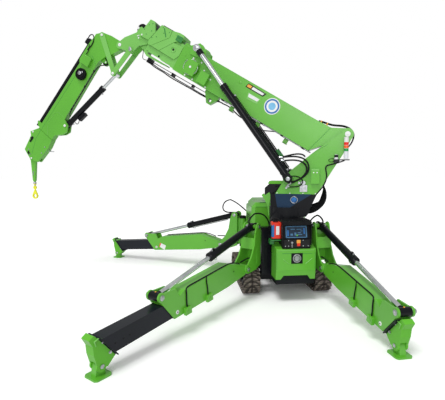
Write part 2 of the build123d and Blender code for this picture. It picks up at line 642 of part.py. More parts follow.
# Outriggers
for prefix, axis_x, axis_y, azimuth, extension in outriggers:
    way = radians(azimuth)
    rig = Plane(
        origin=(machine_x + axis_x, machine_y + axis_y, 0),
        x_dir=(cos(way), sin(way), 0),
        z_dir=(sin(way), -cos(way), 0),
    )
    foot_u = foot_pin[0] + extension
    foot_reach = hypot(foot_u, foot_pin[1])
    pitch = degrees(asin((foot_height - lift_pivot[1]) / foot_reach)
                    - atan2(foot_pin[1], foot_u))
    beam_plane = shifted(rig, *lift_pivot, pitch)
    with BuildPart() as bracket:
        with BuildSketch(Plane(origin=rig.origin, x_dir=rig.x_dir).offset(lower_lug[1] + seat_gap),
                         mode=Mode.PRIVATE) as tube:
            Circle(swing_tube_radius)
            with Locations((50, 0)):
                Rectangle(60, 2 * swing_tube_radius)
            with Locations((79, 0)):
                Rectangle(22, 2 * (outer_half + 2 + bracket_plate))
        extrude(tube.sketch, amount=upper_lug[0] - lower_lug[1] - 2 * seat_gap)
        twin(rig, outer_half + 2, outer_half + 2 + bracket_plate,
             [(68, 470), (68, 1009), (120, 1064), (165, 1040), (200, 940), (230, 760),
              (300, 620), (451, 465), (391, 405), (200, 420)],
             [(*cylinder_foot, 52), (*lift_pivot, 60)])
        twin(rig, 36, outer_half + 3, rounds=[(*cylinder_foot, 34)])
        slab(rig, -outer_half - 3, outer_half + 3, [(203, 858), (215, 860), (244, 708), (232, 706)])
        slab(rig, -120, 120, rounds=[(*cylinder_foot, 22)])
        slab(rig, -120, 120, rounds=[(*lift_pivot, 28)])
        with BuildSketch(Plane(origin=rig.origin).offset(400), mode=Mode.PRIVATE) as bore:
            Circle(swing_pin_radius + pin_gap)
        extrude(bore.sketch, amount=700, mode=Mode.SUBTRACT)
    finish(bracket.part, prefix + "_bracket")

    with BuildPart() as beam:
        slab(beam_plane, -outer_half, outer_half,
             [(30, 60), (386, 188), (1230, 166), (1320, 124), (1361, 223), (1531, 236),
              (1600, 200), (1560, 117), (1415, -92), (430, -92), (40, -60)],
             [(0, 0, 60), (*rod_pin, 52)], [(0, 0, 28 + pin_gap)])
        slab(beam_plane, -outer_half + outer_wall, outer_half - outer_wall,
             [(450, -82), (1700, -82), (1700, 112), (450, 112)], mode=Mode.SUBTRACT)
        slab(beam_plane, -fork_half, fork_half,
             [(1300, 300), (1300, 122), (1700, 122), (1700, 300)], mode=Mode.SUBTRACT)
        slab(beam_plane, -40, 40, [(1290, -83), (1400, -83), (1400, -77 - seat_gap),
                                   (1290, -77 - seat_gap)])
    finish(beam.part, prefix + "_beam")

    # Inner beam with its end plate, and the foot that stands before it
    rear = -1110
    half = outer_half - outer_wall - slide_gap
    reach = shifted(beam_plane, foot_u, 0)
    with BuildPart() as inner:
        slab(reach, -half, half, [(rear, -77), (-143, -77), (-16, 107), (rear, 107)])
        slab(reach, 10 - half, half - 10, [(rear - 1, -67), (-165, -67), (-52, 97),
                                           (rear - 1, 97)], mode=Mode.SUBTRACT)
        slab(reach, -half - 9, half + 9, [(-164, -107), (0, 130), (8, 124), (-156, -113)])
        slab(reach, -foot_half, foot_half,
             [(-10, 112), (47, 158), (96, 133), (64, 61), (64, -20), (40, -143), (-60, -178),
              (-153, -109)], [(0, foot_pin[1], 50)])
        slab(reach, -foot_jaw - seat_gap, foot_jaw + seat_gap,
             [(-100, -95), (100, -95), (100, -240), (-100, -240)], mode=Mode.SUBTRACT)
        slab(reach, -foot_half - 4, foot_half + 4, rounds=[(0, foot_pin[1], 16)])
    finish(inner.part, prefix + "_inner")

    foot = reach.from_local_coords(Vector(0, foot_pin[1], 0))
    foot_plane = Plane(origin=foot, x_dir=rig.x_dir, z_dir=rig.z_dir)
    ground = Plane(origin=(foot.X, foot.Y, 0), x_dir=rig.x_dir)
    corner = pad_half - 22
    with BuildPart() as pad:
        slab(ground, 0, pad_thickness,
             [(-pad_half, -corner), (-corner, -pad_half), (corner, -pad_half),
              (pad_half, -corner), (pad_half, corner), (corner, pad_half), (-corner, pad_half),
              (-pad_half, corner)])
        slab(foot_plane, -foot_jaw, foot_jaw,
             [(-52, pad_thickness - 1 - foot_height), (52, pad_thickness - 1 - foot_height),
              (38, 0), (-38, 0)], [(0, 0, 38)], [(0, 0, 16 + pin_gap)])
    finish(pad.part, prefix + "_pad")

    pin = rig.to_local_coords(beam_plane.from_local_coords(Vector(*rod_pin, 0)))
    pin = (pin.X, pin.Y)
    length = hypot(pin[0] - cylinder_foot[0], pin[1] - cylinder_foot[1])
    start = (cylinder_foot[0] + (pin[0] - cylinder_foot[0]) * 58 / length,
             cylinder_foot[1] + (pin[1] - cylinder_foot[1]) * 58 / length)
    with BuildPart() as barrel:
        bar(rig, start, pin, rig_barrel_radius, length=rig_barrel_length - 58)
        slab(rig, -36 + seat_gap, 36 - seat_gap, link_outline(cylinder_foot, start, 46, 46),
             [(*cylinder_foot, 46)], [(*cylinder_foot, 22 + pin_gap)])
        bar(rig, start, pin, rig_rod_radius + rod_gap, mode=Mode.SUBTRACT)
    finish(barrel.part, prefix + "_barrel")

    with BuildPart() as rod:
        bar(rig, pin, cylinder_foot, rig_rod_radius, length=rig_rod_length)
        slab(rig, seat_gap - fork_half, fork_half - seat_gap, rounds=[(*pin, 44)])
    finish(rod.part, prefix + "_rod")
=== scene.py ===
import json
import math
from contextlib import contextmanager

import bmesh
import bpy
from bpy.props import FloatProperty, FloatVectorProperty, PointerProperty
from mathutils import Matrix, Vector


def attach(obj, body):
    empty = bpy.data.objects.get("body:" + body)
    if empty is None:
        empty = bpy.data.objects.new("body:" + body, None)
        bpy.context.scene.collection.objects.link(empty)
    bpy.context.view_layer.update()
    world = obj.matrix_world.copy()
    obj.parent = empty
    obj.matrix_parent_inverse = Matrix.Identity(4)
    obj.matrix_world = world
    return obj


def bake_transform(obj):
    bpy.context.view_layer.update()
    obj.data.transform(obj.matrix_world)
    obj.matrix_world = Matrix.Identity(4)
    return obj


bl_info = {"name": "Spider crane", "version": (1, 0, 0), "blender": (4, 5, 0),
    "location": "View3D > Sidebar > Crane",
    "description": "Dresses a compact spider crane: paint, hoses, bolts and small fittings",
    "category": "Object"}

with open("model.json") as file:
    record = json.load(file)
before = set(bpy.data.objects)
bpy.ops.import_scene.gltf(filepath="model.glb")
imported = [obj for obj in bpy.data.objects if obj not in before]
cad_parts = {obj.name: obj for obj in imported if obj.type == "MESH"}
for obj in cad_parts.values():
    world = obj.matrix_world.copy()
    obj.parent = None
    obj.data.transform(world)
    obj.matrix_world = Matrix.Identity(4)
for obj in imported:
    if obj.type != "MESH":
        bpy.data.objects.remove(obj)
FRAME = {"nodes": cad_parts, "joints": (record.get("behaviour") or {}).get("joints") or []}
NODES = FRAME["nodes"]
JOINTS = {joint["name"]: joint for joint in FRAME["joints"]}
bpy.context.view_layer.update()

# Small fittings are drawn in millimetres in the frame of the part that carries them
MM = 0.001
MACHINE = Vector((1.682, -0.0078, 0.0))


def pivot(name):
    """The point that a joint turns about."""
    return Vector(JOINTS[name]["pos_m"])


def axis(name):
    """The direction of a joint's axis."""
    return Vector(JOINTS[name]["axis"]).normalized()


def upright(origin, normal, along):
    """A frame whose x follows along, whose z is normal, and whose y completes them."""
    z = normal.normalized()
    x = (along - along.dot(z) * z).normalized()
    y = z.cross(x)
    turn = Matrix((x, y, z)).transposed().to_4x4()
    return Matrix.Translation(origin) @ turn


def level(vector):
    """A vector without its height."""
    return Vector((vector.x, vector.y, 0.0))


# Frames with x along the part, y up and z away from the camera: the boom's starts at the
# main pin, the jib's at the knuckle, the column's on the ground under the slewing axis
BOOM = upright(pivot("luff"), axis("luff"), axis("boom_extend_1"))
JIB = upright(pivot("jib_fold"), -axis("jib_fold"), axis("jib_extend"))
COLUMN = upright(level(pivot("slew")), axis("luff"), level(axis("boom_extend_1")))
NOSE = upright(pivot("hanger_swing"), axis("luff"), level(axis("boom_extend_1")))
# x to the machine's right, y up, z to the rear, towards the camera
REAR = upright(MACHINE, Vector((0, -1, 0)), Vector((1, 0, 0)))
GROUND = Matrix.Translation(MACHINE)

# Pins: the lift cylinders' in the column's frame, the jib cylinder's in the jib's, and the
# outriggers' foot, pivot and rod pin in the rig's frame, the last in the beam's
LIFT_FOOT, LIFT_EYE = (-43, 1681), (1287, 3553)
JIB_FOOT, JIB_EYE = (1636, 58), (416, -179)
RIG_FOOT, RIG_PIVOT, ROD_PIN = (120, 1009), (391, 465), (1565, 200)

# Outriggers: name, how far the beam is out, the side of the beam that carries its cables
RIGS = (("rear_left", 720, -1), ("rear_right", 0, 1), ("front_left", 777, 1), ("front_right", 0, -1))

# Each cylinder's hose, from the chassis over its bracket to the barrel, in the rig's frame
HOSE_LOOPS = {"rear_left": [(-340, 975, -20), (-280, 1040, -40), (-180, 1106, -62), (-60, 1164, -80),
    (60, 1196, -82), (180, 1198, -82), (290, 1165, -82), (345, 1105, -82), (310, 1046, -82),
    (230, 1050, -80), (160, 1062, -76), (110, 1052, -66)], "rear_right": [(-150, 1000, 60),
    (-60, 1080, 70), (80, 1140, 80), (200, 1166, 88), (300, 1164, 98), (380, 1142, 104),
    (420, 1098, 104), (385, 1060, 102), (320, 1062, 96), (255, 1080, 88), (190, 1074, 78),
    (120, 1056, 66)], "front_left": [(-110, 1040, 0), (-60, 1100, -40), (20, 1180, -80),
    (112, 1240, -82), (200, 1275, -82), (290, 1262, -82), (356, 1180, -82), (350, 1090, -82),
    (290, 1044, -82), (200, 1048, -76), (120, 1052, -66)], "front_right": [(-110, 1040, 0),
    (0, 1130, 50), (140, 1200, 82), (270, 1180, 82), (330, 1100, 82), (270, 1050, 82), (190, 1046, 76),
    (120, 1050, 66)]}


def rig_frame(name):
    """An outrigger's frame: x out along its beam, y up, from the ground under its hinge."""
    return upright(level(pivot(name + "_swing")), axis(name + "_lift"), level(-axis(name + "_extend")))


def beam_frame(name):
    """A beam's frame: x down along it from its pivot."""
    return upright(pivot(name + "_lift"), axis(name + "_lift"), -axis(name + "_extend"))


# Materials

def linear(code):
    """An sRGB hex colour as linear RGBA."""
    code = code.lstrip("#")
    channels = [int(code[i:i + 2], 16) / 255 for i in (0, 2, 4)]
    return [c / 12.92 if c <= 0.04045 else ((c + 0.055) / 1.055) ** 2.4 for c in channels] + [1.0]


def fill(tree, node, inputs):
    """Sets or links a node's inputs."""
    for name, value in inputs.items():
        if isinstance(value, bpy.types.NodeSocket):
            tree.links.new(value, node.inputs[name])
        else:
            node.inputs[name].default_value = value


def add_node(tree, kind, settings=None, inputs=None):
    """Adds a node, sets its properties, and sets or links its inputs."""
    node = tree.nodes.new(kind)
    for name, value in (settings or {}).items():
        setattr(node, name, value)
    fill(tree, node, inputs or {})
    return node


def new_material(name):
    """An empty node material with its shader and the object coordinates."""
    material = bpy.data.materials.new(name)
    material.use_nodes = True
    tree = material.node_tree
    shader = tree.nodes["Principled BSDF"]
    place = add_node(tree, "ShaderNodeTexCoord").outputs["Object"]
    return material, tree, shader, place


def mottled(tree, place, scale, low, high, detail=4.0):
    """A soft noise between two colours."""
    noise = add_node(tree, "ShaderNodeTexNoise", None, {"Vector": place, "Scale": scale,
        "Detail": detail})
    ramp = add_node(tree, "ShaderNodeValToRGB", None, {"Fac": noise.outputs["Fac"]})
    for element, position, colour in zip(ramp.color_ramp.elements, (0.3, 0.7), (low, high)):
        element.position = position
        element.color = colour
    return ramp.outputs["Color"]


def bumped(tree, place, scale, strength, distance, detail=2.0):
    """A fine noise as relief."""
    noise = add_node(tree, "ShaderNodeTexNoise", None, {"Vector": place, "Scale": scale,
        "Detail": detail})
    return add_node(tree, "ShaderNodeBump", None, {"Strength": strength, "Distance": distance,
        "Height": noise.outputs["Fac"]}).outputs["Normal"]


def beyond(tree, place, origin, normal):
    """1 on the far side of a plane through origin, 0 before it."""
    offset = add_node(tree, "ShaderNodeVectorMath", {"operation": "SUBTRACT"}, {0: place, 1: origin})
    along = add_node(tree, "ShaderNodeVectorMath", {"operation": "DOT_PRODUCT"}, {0: offset.outputs[0],
        1: normal})
    return add_node(tree, "ShaderNodeMath", {"operation": "GREATER_THAN"}, {0: along.outputs["Value"],
        1: 0.0}).outputs[0]


def sprayed_enamel(name, code, darker, roughness=0.34, cut=None, gloss=1.0):
    """Two-pack enamel sprayed on steel plate: a glossy coat with a faint orange peel. With a
    cut, a second colour covers what lies beyond a plane: its colour, origin and normal."""
    material, tree, shader, place = new_material(name)
    colour = mottled(tree, place, 1.6, linear(darker), linear(code))
    if cut:
        second, origin, normal = cut
        colour = add_node(tree, "ShaderNodeMix", {"data_type": "RGBA"}, {0: beyond(tree, place, origin,
            normal), 6: colour, 7: linear(second)}).outputs[2]
    # orange peel is about 3 mm across, drawn at 8 mm so that it shows
    fill(tree, shader, {"Base Color": colour, "Normal": bumped(tree, place, 120.0, 0.05, 0.001),
        "Roughness": roughness, "IOR": 1.5, "Specular IOR Level": 0.5 * gloss,
        "Coat Weight": 0.35 * gloss, "Coat Roughness": 0.12})
    return material


def bare_metal(name, code, lighter, scale, roughness):
    """Bare metal, slightly cloudy. Hard chrome is ground along the rod and bright, and zinc
    plate is grey and duller."""
    material, tree, shader, place = new_material(name)
    fill(tree, shader, {"Base Color": mottled(tree, place, scale, linear(code), linear(lighter)),
        "Metallic": 1.0, "Roughness": roughness})
    return material


def track_rubber(name):
    """Moulded rubber with chevron lugs 84 mm apart and a middle groove: darker between the lugs and in
    the groove, mottled brown on the lugs."""
    material, tree, shader, place = new_material(name)
    axes = add_node(tree, "ShaderNodeSeparateXYZ", None, {0: place}).outputs
    value = {"x": axes["X"], "y": axes["Y"], "z": axes["Z"]}
    for result, operation, first, second in (("across", "SUBTRACT", "x", MACHINE.x),
            ("across", "ABSOLUTE", "across", 0.0), ("across", "SUBTRACT", "across", 0.53),
            ("across", "ABSOLUTE", "across", 0.0), ("slant", "MULTIPLY", "across", 0.75),
            ("along", "ADD", "y", "z"), ("slant", "ADD", "along", "slant"), ("lug", "DIVIDE", "slant",
            0.084), ("lug", "FRACT", "lug", 0.0), ("lug", "GREATER_THAN", "lug", 0.42),
            ("edge", "GREATER_THAN", "across", 0.014), ("lug", "MULTIPLY", "lug", "edge")):
        value[result] = add_node(tree, "ShaderNodeMath", {"operation": operation}, {0: value[first],
            1: value.get(second, second)}).outputs[0]
    lug_brown = mottled(tree, place, 24.0, linear("#4d453f"), linear("#8d8178"), 6.0)
    mix = add_node(tree, "ShaderNodeMix", {"data_type": "RGBA"}, {0: value["lug"], 6: linear("#3a332f"),
        7: lug_brown})
    # the moulding grain is under 1 mm, drawn at 4 mm so that it shows
    fill(tree, shader, {"Base Color": mix.outputs[2], "Normal": bumped(tree, place, 260.0, 0.3, 0.001),
        "Roughness": 0.85, "IOR": 1.5})
    return material


def moulded_plastic(name, code, lighter, roughness=0.5, gloss=1.0):
    """Injection-moulded plastic with a light grain."""
    material, tree, shader, place = new_material(name)
    # the grain is about 0.5 mm, drawn at 2.5 mm so that it shows
    fill(tree, shader, {"Base Color": mottled(tree, place, 14.0, linear(code), linear(lighter)),
        "Normal": bumped(tree, place, 400.0, 0.08, 0.001), "Roughness": roughness, "IOR": 1.46,
        "Specular IOR Level": 0.5 * gloss})
    return material


def banded_lamp(name, bands):
    """A stack of tinted lens segments: each band gives its top height in metres and colour."""
    material, tree, shader, place = new_material(name)
    height = add_node(tree, "ShaderNodeSeparateXYZ", None, {0: place}).outputs["Z"]
    share = add_node(tree, "ShaderNodeMapRange", None, {"Value": height, "From Min": bands[0][0],
        "From Max": bands[-1][0]})
    ramp = add_node(tree, "ShaderNodeValToRGB", None, {"Fac": share.outputs["Result"]})
    ramp.color_ramp.interpolation = "CONSTANT"
    span = bands[-1][0] - bands[0][0]
    elements = ramp.color_ramp.elements
    for index, (start, code) in enumerate(bands[:-1]):
        position = (start - bands[0][0]) / span
        element = elements[index] if index < 2 else elements.new(position)
        element.position = position
        element.color = linear(code)
    fill(tree, shader, {"Base Color": ramp.outputs["Color"], "Normal": bumped(tree, place, 500.0, 0.05,
        0.001), "Roughness": 0.25, "IOR": 1.49})
    return material


# One lime enamel in three copies: the plain one as it is, a paler one that is painted light on lit
# parts and edges, and a darker shaded one that is painted shade
GREEN = sprayed_enamel("lime_enamel", "#62b832", "#5aad2e")
LIT_GREEN = sprayed_enamel("lit_lime_enamel", "#7cc460", "#70bb4e")
DARK_GREEN = sprayed_enamel("shaded_lime_enamel", "#2a8a38", "#237a33")
BLACK = sprayed_enamel("black_enamel", "#14161b", "#0c0e12", 0.28, gloss=0.3)
# Dark blue enamel for the painted reflection on the turret's glossy black lower sides
REFLECTION_BLUE = sprayed_enamel("painted_reflection_enamel", "#1d3a57", "#18324c", 0.3, gloss=0.3)
CHROME = bare_metal("hard_chrome", "#d6dade", "#f2f4f6", 6.0, 0.18)
RUBBER = track_rubber("track_rubber")
PLASTIC = moulded_plastic("black_plastic", "#0c0c0e", "#141518", gloss=0.4)
RED = moulded_plastic("red_plastic", "#ee3a1d", "#e22f18", 0.35)
YELLOW = sprayed_enamel("yellow_enamel", "#eeee28", "#e4e122", 0.35)
HOSE = moulded_plastic("hose_rubber", "#101114", "#191a1d", 0.5, 0.4)
STEEL = bare_metal("zinc_steel", "#a9abb0", "#d2d4d8", 30.0, 0.35)
CAST = moulded_plastic("cast_steel", "#222224", "#2b2b2d", 0.7, 0.4)
WHITE = moulded_plastic("white_film", "#e4e6e6", "#eff0f0", 0.4)
BLUE = moulded_plastic("blue_film", "#1f63a6", "#2a72b8", 0.4)
SKY = moulded_plastic("sky_blue_film", "#6fb4dc", "#7fc0e6", 0.4)
ORANGE = moulded_plastic("orange_film", "#f0a33c", "#f5ad49", 0.4)
GLASS = moulded_plastic("screen_glass", "#1c2c3d", "#26384a", 0.08)
BEZEL = moulded_plastic("screen_bezel_plastic", "#426f93", "#4c7ba0", 0.4)
LAMP = banded_lamp("lamp_lenses", ((1.93, "#17181b"), (1.952, "#dfe3e8"), (2.049, "#1f9a4a"),
    (2.09, "#f1641f"), (2.131, "#e8180f"), (2.172, "#e6e6e4"), (2.3, "#e6e6e4")))

# The boom's telescopic sections, head and links take the paler lime enamel: painted light on these high
# parts
NODE_MATERIALS = ((BLACK, ("chassis_frame", "slew_ring", "turret_base", "lift_barrels",
    "jib_cylinder_barrel", "jib_ext_barrel", "track_frame_left", "track_frame_right",
    *(rig[0] + "_barrel" for rig in RIGS))), (CHROME, ("lift_rods", "jib_cylinder_rod",
    *(rig[0] + "_rod" for rig in RIGS))), (RUBBER, ("track_left", "track_right")),
    (PLASTIC, ("control_panel", "jib_reel", "head_sheaves")), (LIT_GREEN, ("boom_section_1",
    "boom_section_2", "boom_section_3", "boom_head", "link_1", "link_2")), (RED, ("remote_control",)),
    (YELLOW, ("hook",)), (CAST, ("engine_block",)), (LAMP, ("stack_light",)),)


def facing(frame, origin, normal):
    """A plane for a two-colour paint, from a point and a direction in a frame."""
    return tuple(at(frame, *origin)), tuple((frame.to_3x3() @ Vector(normal)).normalized())


def dress_nodes():
    """Gives every solid its paint."""
    paints = {name: material for material, names in NODE_MATERIALS for name in names}
    paints["turret_box"] = sprayed_enamel("tank_enamel", "#14161b", "#0c0e12", 0.28,
        ("#5fb12c", *facing(COLUMN, (0, 1603), (0, 1, 0))), 0.4)
    for name, reach, side in RIGS:
        foot = facing(beam_frame(name), (1576 + reach - 144, -109), (0.8215, -0.5702, 0))
        paints[name + "_inner"] = sprayed_enamel(name + "_inner_enamel", "#171b24", "#11141b", 0.3,
            ("#62b832", *foot), 0.4)
    for name, node in NODES.items():
        paint = paints.get(name, GREEN)
        if not node.material_slots:
            node.data.materials.append(paint)
        for slot in node.material_slots:
            slot.material = paint


# Shapes, in millimetres in the frame of the part that carries them

def at(frame, x, y, z=0.0):
    """A point given in millimetres in a frame."""
    return frame @ (Vector((x, y, z)) * MM)


@contextmanager
def piece(name, body, frame, paint, rounding=0.0, both=False):
    """A piece that is drawn in a frame's millimetres and rides on a body. With both, what is
    drawn on one side of the frame's middle plane stands on the other side too."""
    bm = bmesh.new()
    yield bm
    if both:
        bmesh.ops.mirror(bm, geom=bm.verts[:] + bm.edges[:] + bm.faces[:], axis="Z")
    bmesh.ops.recalc_face_normals(bm, faces=bm.faces)
    bmesh.ops.transform(bm, matrix=frame @ Matrix.Scale(MM, 4), verts=bm.verts)
    mesh = bpy.data.meshes.new(name)
    bm.to_mesh(mesh)
    bm.free()
    mesh.shade_smooth()
    mesh.set_sharp_from_angle(angle=math.radians(32))
    mesh.materials.append(paint)
    fitting = bpy.data.objects.new(name, mesh)
    bpy.context.scene.collection.objects.link(fitting)
    if rounding:
        bevel = fitting.modifiers.new("rounded edges", "BEVEL")
        bevel.width = rounding * MM
        bevel.segments = 2
        bevel.limit_method = "ANGLE"
    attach(fitting, body)


def carried(body, frame):
    """A way to make pieces that ride on one body, in one frame. Their shapes are given as
    functions with their sizes."""
    def make(name, paint, rounding, *shapes, both=False):
        with piece(name, body, frame, paint, rounding, both) as bm:
            for shape, *sizes in shapes:
                shape(bm, *sizes)
    return make


on_boom, on_head, on_section_1, on_section_2, on_section_3 = (carried(body, BOOM)
    for body in ("base_boom", "head", "section_1", "section_2", "section_3"))
on_jib, on_nose, on_jib_barrel, on_link = (carried(body, JIB) for body in ("jib", "jib_extension",
    "jib_barrel", "front_link"))
on_turret, on_barrels = (carried(body, COLUMN) for body in ("turret", "lift_barrel_pair"))
on_hanger, on_hook = (carried(body, NOSE) for body in ("hanger", "hook_block"))
on_rear, on_ground = (carried("chassis", frame) for frame in (REAR, GROUND))


def flat(depth, *points):
    """Points of a hose that stays at one depth."""
    return [(x, y, depth) for x, y in points]


def slab(bm, outline, near, far):
    """A flat plate between two depths."""
    corners = [bm.verts.new((x, y, near)) for x, y in outline]
    face = bm.faces.new(corners)
    made = bmesh.ops.extrude_face_region(bm, geom=[face])["geom"]
    moved = [part for part in made if isinstance(part, bmesh.types.BMVert)]
    bmesh.ops.translate(bm, vec=(0, 0, far - near), verts=moved)


def box(bm, x, y, z):
    """A block between two x, two y and two z."""
    slab(bm, [(x[0], y[0]), (x[1], y[0]), (x[1], y[1]), (x[0], y[1])], z[0], z[1])


def bar(bm, start, end, radius, tip=None, sides=18):
    """A round bar or cone from one point to another."""
    start = Vector(start)
    end = Vector(end)
    turn = (end - start).to_track_quat("Z", "Y").to_matrix().to_4x4()
    bmesh.ops.create_cone(bm, cap_ends=True, segments=sides, radius1=radius, radius2=radius
        if tip is None else tip, depth=(end - start).length, matrix=Matrix.Translation(
        (start + end) / 2) @ turn)


def stud(bm, x, y, surface, radius, height, sides=20):
    """A round head that stands out of a surface: a body and a chamfered rim."""
    bar(bm, (x, y, surface), (x, y, surface + 0.7 * height), radius, sides=sides)
    bar(bm, (x, y, surface + 0.7 * height), (x, y, surface + height), radius, radius * 0.82,
        sides=sides)


def around(x, y, radius, turns):
    """Points at even steps round a centre."""
    angles = [math.tau * turn / turns for turn in range(turns)]
    return [(x + radius * math.cos(angle), y + radius * math.sin(angle)) for angle in angles]


def pin_head(bm, x, y, surface, radius, way=1):
    """A pin's head with its keeper: a chamfered disc and a greasing nipple in its middle."""
    stud(bm, x, y, surface, radius, way * 7, 28)
    stud(bm, x, y, surface + way * 7, radius * 0.3, way * 5, 12)


def bolt(bm, x, y, surface, size, way=1):
    """A hexagon bolt on its washer."""
    bar(bm, (x, y, surface), (x, y, surface + way * 2), size * 1.25, sides=20)
    bar(bm, (x, y, surface + way * 2), (x, y, surface + way * (2 + size * 0.7)), size, sides=6)


def ring(bm, centre, direction, radius, section, sides=32):
    """A round ring about a direction."""
    direction = Vector(direction).normalized()
    across = direction.orthogonal().normalized()
    turn = Matrix((across, direction.cross(across), direction)).transposed().to_4x4()
    place = Matrix.Translation(Vector(centre) + across * radius) @ turn @ Matrix.Rotation(math.pi / 2,
        4, "X")
    made = bmesh.ops.create_circle(bm, segments=10, radius=section, matrix=place)
    edges = list({edge for vert in made["verts"] for edge in vert.link_edges})
    bmesh.ops.spin(bm, geom=edges, cent=centre, axis=direction, angle=2 * math.pi, steps=sides,
        use_merge=True)


def hose(name, frame, radius, points, body, other=None):
    """A hydraulic hose between two fittings, on a smooth line. Where a joint lies between its ends, it
    is baked in place and rides on neither body."""
    line = bpy.data.curves.new(name, "CURVE")
    line.dimensions = "3D"
    line.bevel_depth = radius * MM
    line.bevel_resolution = 3
    line.resolution_u = 10
    line.use_fill_caps = True
    spline = line.splines.new("NURBS")
    spline.points.add(len(points) - 1)
    for knot, point in zip(spline.points, points):
        knot.co = at(frame, *point).to_4d()
    spline.order_u = 4
    spline.use_endpoint_u = True
    drawn = bpy.data.objects.new(name + "_line", line)
    mesh = bpy.data.meshes.new_from_object(drawn)
    mesh.name = name
    bpy.data.objects.remove(drawn)
    bpy.data.curves.remove(line)
    mesh.materials.clear()
    mesh.materials.append(HOSE)
    mesh.shade_smooth()
    fitted = bpy.data.objects.new(name, mesh)
    bpy.context.scene.collection.objects.link(fitted)
    if other:
        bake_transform(fitted)
    else:
        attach(fitted, body)


def crimped_end(bm, point, toward, radius=15, length=46):
    """A hose's crimped steel end, with its union nut."""
    start = Vector(point)
    way = (Vector(toward) - start).normalized()
    bar(bm, start, start + way * length * 0.4, radius * 1.25, sides=6)
    bar(bm, start + way * length * 0.4, start + way * length, radius)


# Pieces

class CRANE_OT_paint(bpy.types.Operator):
    """Paints the solids"""

    bl_idname = "crane.paint"
    bl_label = "Paint"

    def execute(self, context):
        dress_nodes()
        return {"FINISHED"}


